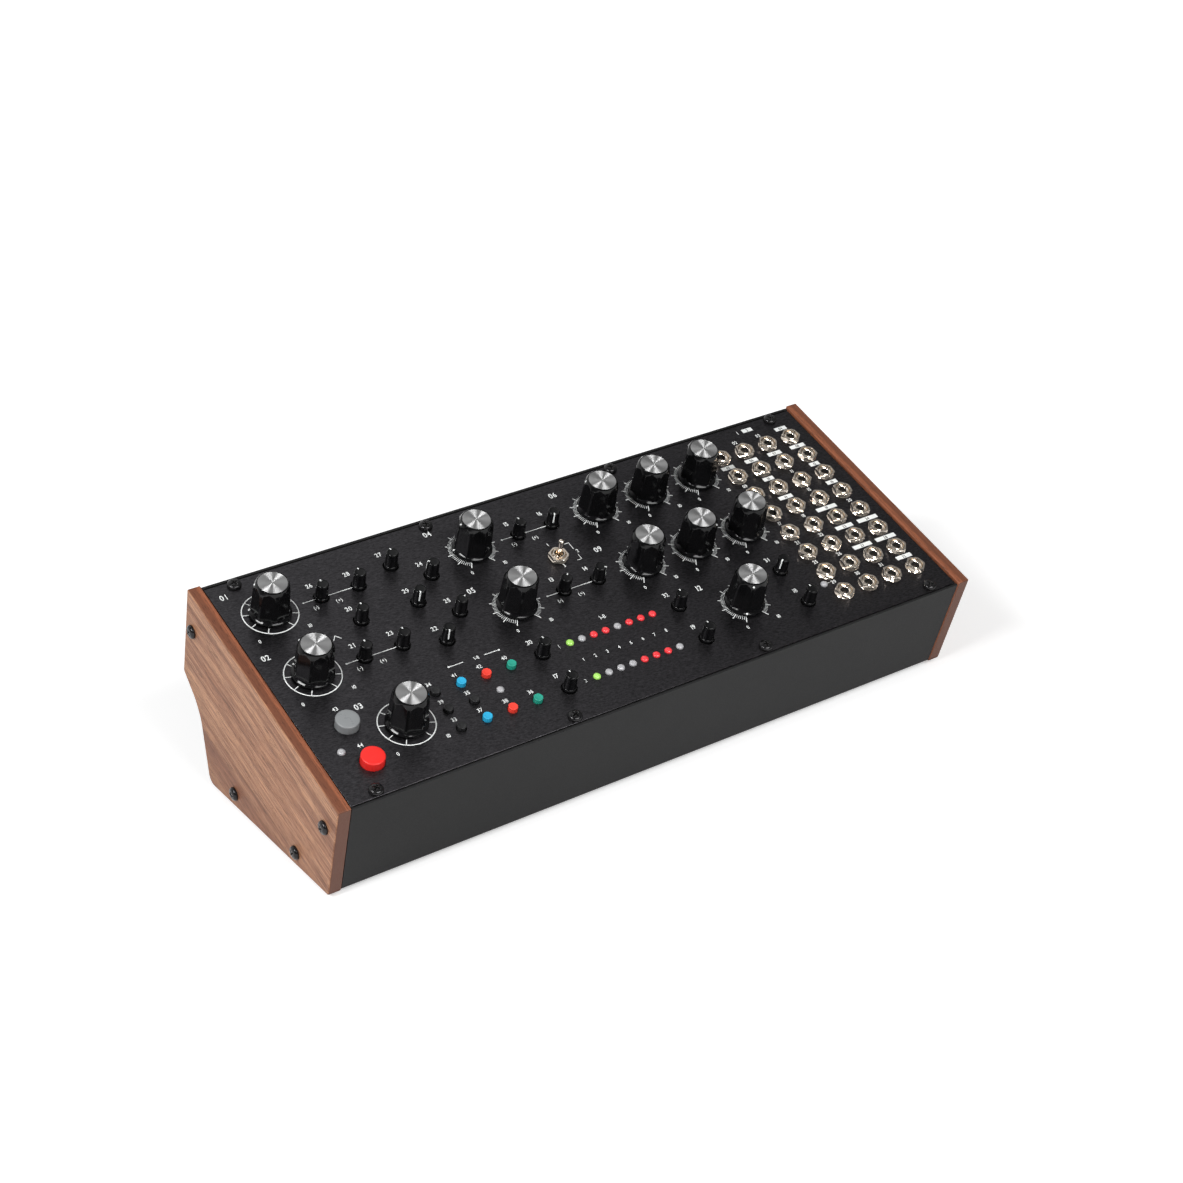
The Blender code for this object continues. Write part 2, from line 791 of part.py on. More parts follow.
def button(name, shares, frame, radius, rise, travel, sides, finish):
    """A cap whose wider foot keeps it under the panel, over the plunger of its switch."""
    switch_top = panel_back - control_board_drop + push_switch_height
    foot_radius_here = radius + button_flange
    profile = [
        (foot_radius_here, switch_top + travel + seat_gap),
        (foot_radius_here, under_panel),
        (radius, under_panel),
        (radius, rise - button_edge),
        (radius - button_edge, rise),
    ]
    shape = bmesh.new()
    turned(shape, profile, sides)
    smooth_round(new_object(name, shape, finish, frame, (*on_panel(shares), 0)))


def build_toggle(frame):
    """The toggle switch: a body under the panel, a threaded bushing with a nut, and its lever."""
    place = on_panel(toggle_shares)
    bushing_radius = toggle_bore_radius + toggle_bushing_wall
    shape = bmesh.new()
    body_bottom = panel_back - control_board_drop + seat_gap
    block_at(shape, place, toggle_body_width, toggle_body_length, body_bottom, under_panel)
    body = new_object("toggle_body", shape, nickel, frame)
    bushing = bmesh.new()
    neck = [(bushing_radius, under_panel - fuse_depth), (bushing_radius, toggle_bushing_rise)]
    turned(bushing, neck, toggle_sides, place)
    combine(body, helper("toggle_bushing", bushing, frame), "UNION")
    nut = bmesh.new()
    turned(nut, [(nut_radius, seat_gap), (nut_radius, seat_gap + nut_height)], nut_sides, place)
    combine(body, helper("toggle_nut", nut, frame), "UNION")
    bore = bmesh.new()
    floor = -toggle_ball_radius - seat_gap
    socket = [(toggle_bore_radius, floor), (toggle_bore_radius, toggle_bushing_rise + overrun)]
    turned(bore, socket, toggle_sides, place)
    combine(body, helper("toggle_bore", bore, frame), "DIFFERENCE")

    ball = toggle_ball_radius
    root = toggle_lever_root_radius
    tip = toggle_lever_tip_radius
    tip_middle = toggle_lever_length - tip
    slant = math.radians(45)
    profile = [
        (root, -ball),
        (ball * math.sin(slant), -ball * math.cos(slant)),
        (ball, 0),
        (ball * math.sin(slant), ball * math.cos(slant)),
        (root, ball),
        (tip, tip_middle),
        (tip * math.cos(slant), tip_middle + tip * math.sin(slant)),
        (root / 2, toggle_lever_length),
    ]
    lever = bmesh.new()
    turned(lever, profile, toggle_sides)
    smooth_round(new_object("toggle_lever", lever, nickel, frame, (*place, 0)))


def wall_frame(name, share):
    """An empty on the upper rear wall, with its z axis pointing out of the wall."""
    made = bpy.data.objects.new(name, None)
    bpy.context.scene.collection.objects.link(made)
    made.matrix_world = rear_wall_matrix(share)
    return made


def rear_piece(name, wall, size, depth, collar, finish):
    """A block inside the rear wall with a round neck through it; collar holds (radius, rise)."""
    inside = -sheet_thickness - seat_gap
    shape = bmesh.new()
    block_at(shape, (0, 0), *size, inside - depth, inside)
    piece = new_object(name, shape, finish, wall)
    neck = bmesh.new()
    turned(neck, [(collar[0], inside - fuse_depth), collar], rear_round_sides)
    combine(piece, helper(name + "_neck", neck, wall), "UNION")
    return piece


def build_output_jack():
    wall = wall_frame("output_frame", output_jack_share)
    rise = seat_gap + output_nut_height + output_thread_show
    size = (output_body_width, output_body_height)
    jack = rear_piece("output_jack", wall, size, output_body_depth, (output_bushing_radius, rise), nickel)
    nut = bmesh.new()
    nut_ends = [(output_nut_radius, seat_gap), (output_nut_radius, seat_gap + output_nut_height)]
    turned(nut, nut_ends, nut_sides)
    combine(jack, helper("output_nut", nut, wall), "UNION")
    bore = bmesh.new()
    bore_ends = [(output_bore_radius, rise - output_bore_depth), (output_bore_radius, rise + overrun)]
    turned(bore, bore_ends, rear_round_sides)
    combine(jack, helper("output_bore", bore, wall), "DIFFERENCE")


def build_power_inlet():
    wall = wall_frame("power_frame", power_inlet_share)
    rise = seat_gap
    floor = rise - power_bore_depth
    size = (power_body_width, power_body_height)
    inlet = rear_piece("power_inlet", wall, size, power_body_depth, (power_collar_radius, rise), rubber)
    socket = bmesh.new()
    turned(socket, [(power_bore_radius, floor), (power_bore_radius, rise + overrun)], rear_round_sides)
    combine(inlet, helper("power_bore", socket, wall), "DIFFERENCE")
    pin = bmesh.new()
    pin_ends = [(power_pin_radius, floor - fuse_depth), (power_pin_radius, rise - power_pin_inset)]
    turned(pin, pin_ends, hidden_sides)
    combine(inlet, helper("power_pin", pin, wall), "UNION")


def build_buttons(frame):
    large = (large_button_radius, large_button_rise, large_button_travel, large_button_sides)
    small = (small_button_radius, small_button_rise, small_button_travel, small_button_sides)
    for name, shares in large_button_shares.items():
        button(name, shares, frame, *large, cap_finish(name))
    for name, shares in small_button_shares.items():
        button(name, shares, frame, *small, cap_finish(name))


def cap_finish(name):
    """The colour of a button's cap, by what the button does."""
    for word, finish in cap_finishes.items():
        if word in name:
            return finish
    return gloss_black


def main():
    clear_scene()
    frame = bpy.data.objects.new("panel_frame", None)
    bpy.context.scene.collection.objects.link(frame)
    frame.location = (0, panel_middle.x - middle_depth, panel_middle.y + foot_stand)
    frame.rotation_euler = (panel_tilt, 0, 0)

    build_case()
    build_cheek("left_cheek", -1)
    build_cheek("right_cheek", 1)
    build_feet()
    build_bars(frame)
    build_panel(frame)
    build_control_board(frame)
    build_jack_board(frame)
    build_toggle(frame)
    build_output_jack()
    build_power_inlet()
    for name, shares in large_knob_shares.items():
        large_knob(name, shares, frame)
    for name, shares in small_knob_shares.items():
        small_knob(name, shares, frame)
    build_buttons(frame)


main()
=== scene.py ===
"""The looks of a desktop sequencer: a sloping black panel in a folded steel case between walnut cheeks.

Metres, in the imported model's frame. What stands on the panel is modelled in the panel's own frame, with x
along it, y up its slope and z out of its face, and is then set in place in its mesh.
"""

import json
import math
import random

import bmesh
import bpy
from mathutils import Matrix, Vector


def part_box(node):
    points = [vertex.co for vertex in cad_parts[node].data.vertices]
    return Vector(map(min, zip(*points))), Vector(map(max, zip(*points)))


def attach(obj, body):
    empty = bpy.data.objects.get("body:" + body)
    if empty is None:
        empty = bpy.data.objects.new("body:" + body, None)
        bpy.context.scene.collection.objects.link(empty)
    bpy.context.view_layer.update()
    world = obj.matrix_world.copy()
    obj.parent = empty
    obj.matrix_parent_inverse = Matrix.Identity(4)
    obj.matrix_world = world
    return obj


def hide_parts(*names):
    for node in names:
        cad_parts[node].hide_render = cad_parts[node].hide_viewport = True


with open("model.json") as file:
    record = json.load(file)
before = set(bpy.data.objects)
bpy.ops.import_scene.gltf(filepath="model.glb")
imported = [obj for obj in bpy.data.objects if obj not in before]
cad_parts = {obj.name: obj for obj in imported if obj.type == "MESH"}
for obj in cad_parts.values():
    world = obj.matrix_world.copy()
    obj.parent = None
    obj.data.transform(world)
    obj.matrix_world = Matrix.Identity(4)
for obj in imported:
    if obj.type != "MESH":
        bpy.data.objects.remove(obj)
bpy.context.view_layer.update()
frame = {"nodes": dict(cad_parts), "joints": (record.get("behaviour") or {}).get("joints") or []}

# Camera, solved from the photograph
camera_place = (-0.450992, -0.709389, 0.477096)
camera_turn_degrees = (63.1123, 3.2604, -32.8079)
camera_lens = 65.615
camera_shift = (0.04201, 0.02776)

# Panel
panel_tilt = math.radians(21.5)
panel_middle = Vector((0, -0.00841, 0.07239))
panel_width = 0.3040
panel_lap = 0.0012  # past the CAD panel's short edges, up to the cheeks
panel_rear_gap = 0.00045  # short of its rear edge
panel_height = 0.1282
panel_thickness = 0.0020
panel_edge = 0.00035
panel_hole_gap = 0.0003

# Case and cheeks: the side outline of the cheeks, and how far inside it the case lies
case_width = 0.3069
sheet_thickness = 0.0011
case_inset = 0.00035
wall_step_drop = 0.0001  # the end walls' tops below the panel's back
wall_holes = {"output_jack": 0.0050, "power_inlet": 0.0048}
wall_hole_reach = 0.004
rim_drop = 0.0001  # the case's rim below the panel's face
cheek_thickness = 0.0059
cheek_gap = 0.0003
cheek_proud = 0.0010
cheek_length = 0.1318
front_height = 0.0507
rear_height = 0.0485
overhang = 0.0116
sweep_angle = math.radians(38.5)
sweep_radius = 0.0220
heel_radius = 0.0044
fold_radius = 0.0016
kink_radius = 0.0015
cheek_edge = 0.0006
cheek_screw_shares = ((0.950, 0.792), (0.752, 0.077), (-0.041, 0.359), (0.239, 0.073))

# Screws
screw_radius = 0.00305
screw_height = 0.0020
screw_inset = (0.0115, 0.0031)
screw_inner_share = 0.16
recess_length = 0.0036
recess_width = 0.00075
recess_depth = 0.0015

# Large knobs
knob_sides = 7
knob_height = 0.0177
skirt_radius = 0.0090
grip_foot_radius = 0.0083
shoulder_radius = 0.0077
shoulder_height = 0.0153
rim_radius = 0.0066
disc_radius = 0.0062
flat_foot = 0.0029
flat_foot_reach = 0.00775
flat_top_reach = 0.00710
skirt_foot = 0.0006
flare_foot = 0.00175
flare = ((0.00030, 37), (0.00040, 40), (0.00035, 44), (0.00030, 50))
knob_shaft_radius = 0.0030

# Small knobs, whose collars stand in wide holes
pin_knob_height = 0.0082
pin_collar_radius = 0.00305
pin_foot_radius = 0.0028
pin_top_radius = 0.0026
pin_hole_radius = 0.0036
pin_collar_foot = -0.0026

# Push buttons
large_cap_radius = 0.0050
large_cap_rise = 0.0037
small_cap_radius = 0.0020
small_cap_rise = 0.0020
cap_flange = 0.0008
cap_flange_depth = 0.0023
cap_foot_depth = 0.0050
large_cap_dish = -0.0001  # a slight crown
small_cap_dish = 0.00012

# Lamps
lamp_radius = 0.00164
lamp_rise = 0.0011
lamp_pitch = 0.006019
lamp_start = -0.0280
lamp_rows = {"upper": -0.02474, "lower": -0.04575}
lamp_states = {"upper": "gorrorrr", "lower": "gooorrro"}
single_lamps = ((-0.14349, -0.03840), (-0.06880, -0.03560), (0.09606, -0.04060))

# Jacks
jack_first = (0.10114, 0.04631)
jack_pitch = 0.01356
jack_columns = 4
jack_rows = 8
nut_flats = 0.0080
nut_height = 0.0021
nut_gap = 0.00035
nut_turn_step = math.radians(17)
washer_radius = 0.0043
barrel_radius = 0.0030
bore_radius = 0.0018
bore_depth = 0.0080
thread_pitch = 0.0005
seat_gap = 0.0003  # between a body and the sheet that it stands behind
jack_body_half = 0.0045
jack_plate_ends = (0.0957, 0.1498)
jack_plate_reach = 0.0526
jack_board_drop = 0.0090
board_thickness = 0.0016
board_parts_drop = 0.00745  # from the panel's back to just above the control board

# Toggle switch and rear sockets
toggle_can_half = (0.0045, 0.0040)
toggle_can_foot = -0.0092
toggle_thread_start = -0.0018
output_body = (0.0075, 0.0065, 0.024)
output_nut_radius = 0.0073
output_nut_foot = 0.0009
output_nut_height = 0.0018
inlet_body = (0.0050, 0.0055, 0.0125)

# Printing, all of it a thin layer on the panel
print_height = 0.00004
line_width = 0.00034
dial_start = -150
dial_step = 30
dial_fine_step = 5
dial_inner = 0.0085
dial_fine_outer = 0.0105
dial_outer = 0.0118
ring_radius = 0.0120
ring_width = 0.00046
ring_tick_inner = 0.0090
ring_tick_step = 37.5
pair_line = -0.0160
pair_gap = 0.0050
jack_label_rise = 0.0077
jack_heading = (0.1229, 0.0593)
box_height = 0.0023
tie_reach = 0.0084  # from a knob to the dot at its line's end
tie_dot = 0.00045
pair_dot = 0.0005
thin_line = 0.00026
bracket_reaches = ((1, 0.0063), (-1, 0.0046))
bracket_near_share = 0.32
bracket_ends = (0.0072, 0.0095)
bracket_stem = 0.0094
# A small peak by one of the large knobs and a dash by a lamp
peak = ((0.0165, 0.0132), (0.0182, 0.0154), (0.0200, 0.0132))
lamp_dash = (0.0018, 0.0029)

# Printed numbers: how far each stands right of and above its place, and its height
knob_number = (-0.0152, 0.0157, 0.0030)
low_stop = (-0.0071, -0.0128, 0.0019)
high_stop = (0.0093, -0.0128, 0.0019)
ringed_spread = 0.0040
small_number = (-0.0016, 0.0081, 0.0024)
minus_mark = (-0.0047, -0.0043, 0.0018)
plus_mark = (0.0061, -0.0043, 0.0018)
large_button_number = (-0.0004, 0.0092, 0.0020)
small_button_number = (-0.0004, 0.0052, 0.0020)
toggle_numbers = {"1": (0, 0.0088, 0.0019), "2": (0.0104, 0.0005, 0.0019), "3": (0, -0.0052, 0.0019)}
lamp_number_line = -0.03525
lamp_number_height = 0.0018
row_number_x = -0.0336
row_number_height = 0.0019
lamp_heading_line = -0.0173
lamp_heading_height = 0.0022
pair_number_x = -0.0687
boxed_height = 0.0016
jack_number_height = 0.0020
heading_gap = 0.0030
heading_height = 0.0021
heading_box = 0.0056
sign_height = 0.73  # of a digit in the built-in font at size 1
sign_swell = 0.02
sign_gap = 0.10
sign_width_share = 0.86
output_boxes = {3: 0.0064, 4: 0.0070, 5: 0.0071, 6: 0.0076, 7: 0.0083, 9: 0.0058, 11: 0.0054, 13: 0.0076}
output_boxes |= {15: 0.0060, 18: 0.0112, 22: 0.0095, 23: 0.0112, 26: 0.0103, 27: 0.0112, 31: 0.0085}

# Walnut: bands and clouds of the broad face, layers from the inner to the outer side, fibres and pores
walnut_tones = {
    "dark": (0.175, 0.066, 0.031),
    "middle": (0.400, 0.182, 0.094),
    "pale": (0.560, 0.292, 0.160),
    "cloud": (0.265, 0.104, 0.050),
    "inner": (0.315, 0.105, 0.050),
    "core": (0.110, 0.040, 0.022),
    "outer": (0.165, 0.060, 0.034),
    "fibre": (0.140, 0.052, 0.029),
    "pore": (0.045, 0.018, 0.011),
}

# Faces that meet at less than this are shaded as one
smooth_limit = math.radians(32)

panel = Matrix.Translation(panel_middle) @ Matrix.Rotation(panel_tilt, 4, "X")
large_knobs = [
    "oscillator_pitch_knob",
    "modulator_pitch_knob",
    "tempo_knob",
    "wavefolder_knob",
    "cutoff_knob",
    "fold_bias_knob",
    "blend_knob",
    "volume_knob",
    "resonance_knob",
    "filter_mode_knob",
    "source_mix_knob",
    "envelope_mix_knob",
]
ringed_knobs = large_knobs[:3]
small_knobs = [name for name in frame["nodes"] if name.endswith("_knob") and name not in large_knobs]
large_buttons = ["trigger_button", "run_button"]
small_buttons = [name for name in frame["nodes"] if name.endswith("_button") and name not in large_buttons]


# Selecting, editing and placing


def deselect():
    bpy.ops.object.select_all(action="DESELECT")


def only(*pieces):
    """Selects these pieces and nothing else, with the first of them active."""
    deselect()
    for piece in pieces:
        piece.select_set(True)
    bpy.context.view_layer.objects.active = pieces[0]


def named(name):
    """Names the piece that was just added."""
    piece = bpy.context.object
    piece.name = name
    piece.data.name = name
    return piece


def edit(piece):
    only(piece)
    bpy.ops.object.mode_set(mode="EDIT")


def done():
    bpy.ops.object.mode_set(mode="OBJECT")


def choose(kind, test):
    """In edit mode, selects the vertices, edges or faces that pass a test."""
    bpy.ops.mesh.select_mode(type=kind)
    bpy.ops.mesh.select_all(action="DESELECT")
    shape = bmesh.from_edit_mesh(bpy.context.edit_object.data)
    parts = {"VERT": shape.verts, "EDGE": shape.edges, "FACE": shape.faces}[kind]
    for part in parts:
        if test(part):
            part.select_set(True)
    shape.select_flush(True)
    bmesh.update_edit_mesh(bpy.context.edit_object.data)


def close_up(piece):
    """Turns all faces outwards, smooths what isn't an edge and keeps the large faces flat."""
    edit(piece)
    bpy.ops.mesh.select_all(action="SELECT")
    bpy.ops.mesh.normals_make_consistent(inside=False)
    done()
    bpy.ops.object.shade_smooth_by_angle(angle=smooth_limit)
    weighing = piece.modifiers.new("flat_faces", "WEIGHTED_NORMAL")
    weighing.keep_sharp = True
    bpy.ops.object.modifier_apply(modifier=weighing.name)
    return piece


def settle(piece, place=Matrix.Identity(4)):
    """Works a place into the piece's mesh and leaves its object at the origin."""
    only(piece)
    piece.matrix_world = place @ piece.matrix_world
    bpy.ops.object.transform_apply(location=True, rotation=True, scale=True)
    return piece


def copied(source, name, place):
    """A copy with a mesh of its own, set in place."""
    only(source)
    bpy.ops.object.duplicate()
    piece = named(name)
    return settle(piece, place)


def joined(name, pieces):
    """Several shapes made one piece."""
    only(*pieces)
    if len(pieces) > 1:
        bpy.ops.object.join()
    return named(name)


def cut(piece, tool, operation="DIFFERENCE"):
    """Cuts a piece with another shape, which is used up."""
    only(piece)
    modifier = piece.modifiers.new("cut", "BOOLEAN")
    modifier.operation = operation
    modifier.solver = "EXACT"
    modifier.object = tool
    bpy.ops.object.modifier_apply(modifier=modifier.name)
    bpy.data.objects.remove(tool)
    return piece


def finish(piece, material):
    piece.data.materials.clear()
    piece.data.materials.append(material)
    return piece


def dress(piece, body, slot, *nodes):
    """The piece rides on a body and stands for CAD nodes, which it hides; its slot is not used."""
    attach(piece, body)
    if nodes:
        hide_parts(*nodes)
    return piece


# Places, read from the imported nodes


def panel_place(node):
    """The middle of a CAD node on the panel, as (x, y) in the panel's frame."""
    to_panel = panel.inverted()
    points = [to_panel @ vertex.co for vertex in frame["nodes"][node].data.vertices]
    middles = []
    for axis in (0, 1):
        values = [point[axis] for point in points]
        middles.append((min(values) + max(values)) / 2)
    return tuple(middles)


def pointer_turn(node):
    """How far a knob's pointer stands anticlockwise from up the slope; its range is even about that."""
    for joint in frame["joints"]:
        if joint["child"] == node + "_body":
            return -math.radians(sum(joint["range_deg"]) / 2)
    return 0.0


def on_panel(place, turn=0.0):
    return panel @ Matrix.Translation((place[0], place[1], 0)) @ Matrix.Rotation(turn, 4, "Z")


def jack_places():
    return [
        (jack_first[0] + column * jack_pitch, jack_first[1] - row * jack_pitch)
        for row in range(jack_rows)
        for column in range(jack_columns)
    ]


def panel_screw_places():
    outer = panel_width / 2 - screw_inset[0]
    inner = panel_width * screw_inner_share
    y = panel_height / 2 - screw_inset[1]
    return [(x, side * y) for side in (-1, 1) for x in (-outer, -inner, inner, outer)]


# Shapes that several pieces start from


def turned(name, profile, sides=48):
    """A round solid about z: a filled circle, extruded and scaled ring by ring up its profile."""
    deselect()
    radius, height = profile[0]
    bpy.ops.mesh.primitive_circle_add(
        vertices=sides, radius=radius, fill_type="NGON", location=(0, 0, height)
    )
    piece = named(name)
    bpy.ops.object.mode_set(mode="EDIT")
    bpy.ops.mesh.select_mode(type="FACE")
    bpy.ops.mesh.select_all(action="SELECT")
    for next_radius, next_height in profile[1:]:
        rise = (0, 0, next_height - height)
        bpy.ops.mesh.extrude_region_move(TRANSFORM_OT_translate={"value": rise})
        scale = next_radius / radius
        bpy.ops.transform.resize(value=(scale, scale, 1), center_override=(0, 0, 0))
        radius, height = next_radius, next_height
    done()
    return close_up(settle(piece))


def block(name, low, high):
    """A box between two corners, ready to be shaped."""
    deselect()
    low, high = Vector(low), Vector(high)
    bpy.ops.mesh.primitive_cube_add(size=1, location=(low + high) / 2, scale=high - low)
    return settle(named(name))


def bevel_edges(piece, test, width, segments):
    edit(piece)
    choose("EDGE", test)
    bpy.ops.mesh.bevel(offset=width, segments=segments, profile=0.5, affect="EDGES")
    done()
    return piece


# Node trees


def feed(tree, socket, value):
    """Links a socket to another one or sets its value."""
    if isinstance(value, bpy.types.NodeSocket):
        tree.links.new(value, socket)
    elif socket.type == "RGBA":
        socket.default_value = (*value[:3], 1)
    else:
        socket.default_value = value


def feed_all(tree, made, inputs):
    for key, value in inputs.items():
        feed(tree, made.inputs[key.replace("_", " ")], value)
    return made


def node(tree, kind, **inputs):
    """A node with its inputs set or linked by name."""
    return feed_all(tree, tree.nodes.new(kind), inputs)


def placed(tree, made_group, **inputs):
    """The output of a group's node in a material's tree."""
    made = tree.nodes.new("ShaderNodeGroup")
    made.node_tree = made_group
    return feed_all(tree, made, inputs).outputs[0]


def worked_out(tree, kind, operation, values):
    """The outputs of a node that works something out of its inputs, in their order."""
    made = tree.nodes.new(kind)
    made.operation = operation
    for socket, value in zip(made.inputs, values):
        feed(tree, socket, value)
    return made.outputs


def maths(tree, operation, first, second=0.0):
    return worked_out(tree, "ShaderNodeMath", operation, (first, second))[0]


def vectors(tree, operation, *values):
    return worked_out(tree, "ShaderNodeVectorMath", operation, values)


def one_axis(tree, vector, axis):
    return node(tree, "ShaderNodeSeparateXYZ", Vector=vector).outputs[axis]


def stretched(tree, vector, scale):
    return node(tree, "ShaderNodeMapping", Vector=vector, Scale=scale).outputs[0]


def outward(tree):
    """The true normal of the surface."""
    return tree.nodes.new("ShaderNodeNewGeometry").outputs["Normal"]


def mixed(tree, factor, first, second):
    """A colour between two colours."""
    made = tree.nodes.new("ShaderNodeMix")
    made.data_type = "RGBA"
    for index, value in ((0, factor), (6, first), (7, second)):
        feed(tree, made.inputs[index], value)
    return made.outputs[2]


def ramp(tree, factor, stops):
    made = tree.nodes.new("ShaderNodeValToRGB")
    tree.links.new(factor, made.inputs[0])
    elements = made.color_ramp.elements
    while len(elements) < len(stops):
        elements.new(0.5)
    for element, (position, colour) in zip(elements, stops):
        element.position = position
        element.color = (*colour, 1) if isinstance(colour, tuple) else (colour, colour, colour, 1)
    return made.outputs[0]


def noise(tree, vector, scale, detail=3.0, roughness=0.55):
    made = node(tree, "ShaderNodeTexNoise", Vector=vector, Scale=scale, Detail=detail, Roughness=roughness)
    return made.outputs[0]


def group(name, inputs, output):
    """An empty node group: its tree, its named inputs and its one output."""
    tree = bpy.data.node_groups.new(name, "ShaderNodeTree")
    for socket, kind, default in inputs:
        made = tree.interface.new_socket(name=socket, in_out="INPUT", socket_type=kind)
        made.default_value = default
    tree.interface.new_socket(name=output, in_out="OUTPUT", socket_type="NodeSocketFloat")
    return tree, tree.nodes.new("NodeGroupInput").outputs, tree.nodes.new("NodeGroupOutput").inputs[0]


def streak_group():
    """Fine parallel streaks, as brushing or fibres leave them, along the mapping's y."""
    inputs = [
        ("Vector", "NodeSocketVector", (0, 0, 0)),
        ("Across", "NodeSocketFloat", 4000.0),
        ("Along", "NodeSocketFloat", 60.0),
    ]
    tree, given, result = group("streaks", inputs, "Streak")
    across, along = given["Across"], given["Along"]
    stretch = node(tree, "ShaderNodeCombineXYZ", X=across, Y=along, Z=across).outputs[0]
    fine = vectors(tree, "MULTIPLY", given["Vector"], stretch)[0]
    tree.links.new(noise(tree, fine, 1.0, 4.0, 0.6), result)
    return tree


def dust_group():
    """A thin uneven film, thicker on faces that look up."""
    inputs = [("Vector", "NodeSocketVector", (0, 0, 0)), ("Amount", "NodeSocketFloat", 0.5)]
    tree, given, result = group("dust", inputs, "Film")
    specks = noise(tree, given["Vector"], 2600.0, 2.0, 0.7)
    patches = noise(tree, given["Vector"], 28.0, 4.0, 0.6)
    sharp = maths(tree, "SMOOTH_MIN", maths(tree, "POWER", specks, 6.0), 1.0)
    both = maths(tree, "ADD", maths(tree, "MULTIPLY", sharp, 2.0), maths(tree, "MULTIPLY", patches, 0.5))
    facing = maths(tree, "MAXIMUM", one_axis(tree, outward(tree), "Z"), 0.15)
    film = maths(tree, "MULTIPLY", maths(tree, "MULTIPLY", both, facing), given["Amount"])
    tree.links.new(film, result)
    return tree


def edge_group():
    """Where an edge is near, from how far a rounded normal turns away from the true one: the mask of a
    painted highlight along edges.
    """
    inputs = [("Width", "NodeSocketFloat", 0.0006), ("Vector", "NodeSocketVector", (0, 0, 0))]
    tree, given, result = group("edge_highlight", inputs, "Edge")
    rounded = node(tree, "ShaderNodeBevel", Radius=given["Width"])
    rounded.samples = 4
    turn = vectors(tree, "DOT_PRODUCT", rounded.outputs[0], outward(tree))["Value"]
    bend = maths(tree, "SUBTRACT", 1.0, turn)
    broken = maths(tree, "MULTIPLY", noise(tree, given["Vector"], 900.0, 3.0, 0.6), 2.0)
    edge = maths(tree, "MULTIPLY", maths(tree, "MULTIPLY", bend, 4.0), broken)
    tree.links.new(maths(tree, "MINIMUM", edge, 1.0), result)
    return tree


streaks = streak_group()
dust = dust_group()
edge_highlight = edge_group()


def material(name, **constants):
    """A Principled material, its tree and its object coordinates."""
    made = bpy.data.materials.new(name)
    made.use_nodes = True
    tree = made.node_tree
    feed_all(tree, principled(tree), constants)
    return made, tree, tree.nodes.new("ShaderNodeTexCoord").outputs["Object"]


def principled(tree):
    return tree.nodes["Principled BSDF"]


def surfaced(made, colour, roughness, height, strength, distance):
    """Feeds a material its colour, its roughness and a bump, and gives it back."""
    tree = made.node_tree
    raised = node(tree, "ShaderNodeBump", Height=height, Strength=strength, Distance=distance).outputs[0]
    for name, value in (("Base Color", colour), ("Roughness", roughness), ("Normal", raised)):
        feed(tree, principled(tree).inputs[name], value)
    return made


def follow_map(tree, name):
    """Runs a metal's grooves along the u of a piece's map."""
    tangent = tree.nodes.new("ShaderNodeTangent")
    tangent.direction_type = "UV_MAP"
    tangent.uv_map = name
    tree.links.new(tangent.outputs[0], principled(tree).inputs["Tangent"])


def turned_to(tree, vector, angles, origin=(0, 0, 0)):
    """Coordinates moved to an origin and turned, so that a pattern follows a piece."""
    moved = tree.nodes.new("ShaderNodeMapping")
    moved.vector_type = "TEXTURE"
    tree.links.new(vector, moved.inputs["Vector"])
    moved.inputs["Location"].default_value = origin
    moved.inputs["Rotation"].default_value = angles
    return moved.outputs[0]


def brushed_black():
    """Black anodised aluminium, brushed along the panel; its map gives the way of the brushing."""
    metal = {"Metallic": 1.0, "Anisotropic": 0.6, "Anisotropic_Rotation": 0.25}
    made, tree, place = material("panel_anodised", **metal)
    along = turned_to(tree, place, (panel_tilt, 0, math.pi / 2))
    fine = placed(tree, streaks, Vector=along, Across=5200.0, Along=70.0)
    coarse = placed(tree, streaks, Vector=along, Across=1700.0, Along=75.0)
    both = maths(tree, "ADD", maths(tree, "MULTIPLY", fine, 0.45), maths(tree, "MULTIPLY", coarse, 0.55))
    film = placed(tree, dust, Vector=place, Amount=0.03)
    base = ramp(tree, both, [(0.38, (0.0275, 0.027, 0.029)), (0.62, (0.077, 0.0735, 0.080))])
    colour = mixed(tree, film, base, (0.30, 0.29, 0.28))
    follow_map(tree, "brushing")
    return surfaced(made, colour, ramp(tree, fine, [(0.3, 0.30), (0.7, 0.42)]), fine, 0.12, 0.0001)


def powder_black():
    """Satin black powder coat, with its fine orange peel and a painted highlight along its edges."""
    made, tree, place = material("case_powder", Specular_IOR_Level=0.14)
    pebbles = noise(tree, place, 2400.0, 2.0, 0.5)
    cloud = noise(tree, place, 35.0, 3.0, 0.6)
    painted_highlight = placed(tree, edge_highlight, Width=0.0005, Vector=place)
    film = placed(tree, dust, Vector=place, Amount=0.05)
    base = mixed(tree, cloud, (0.008, 0.008, 0.0083), (0.012, 0.012, 0.0123))
    # painted highlight: the coat is made paler where an edge is near
    base = mixed(tree, maths(tree, "MULTIPLY", painted_highlight, 0.25), base, (0.09, 0.09, 0.095))
    colour = mixed(tree, film, base, (0.3, 0.3, 0.29))
    return surfaced(made, colour, ramp(tree, pebbles, [(0.2, 0.42), (0.8, 0.56)]), pebbles, 0.10, 0.0001)


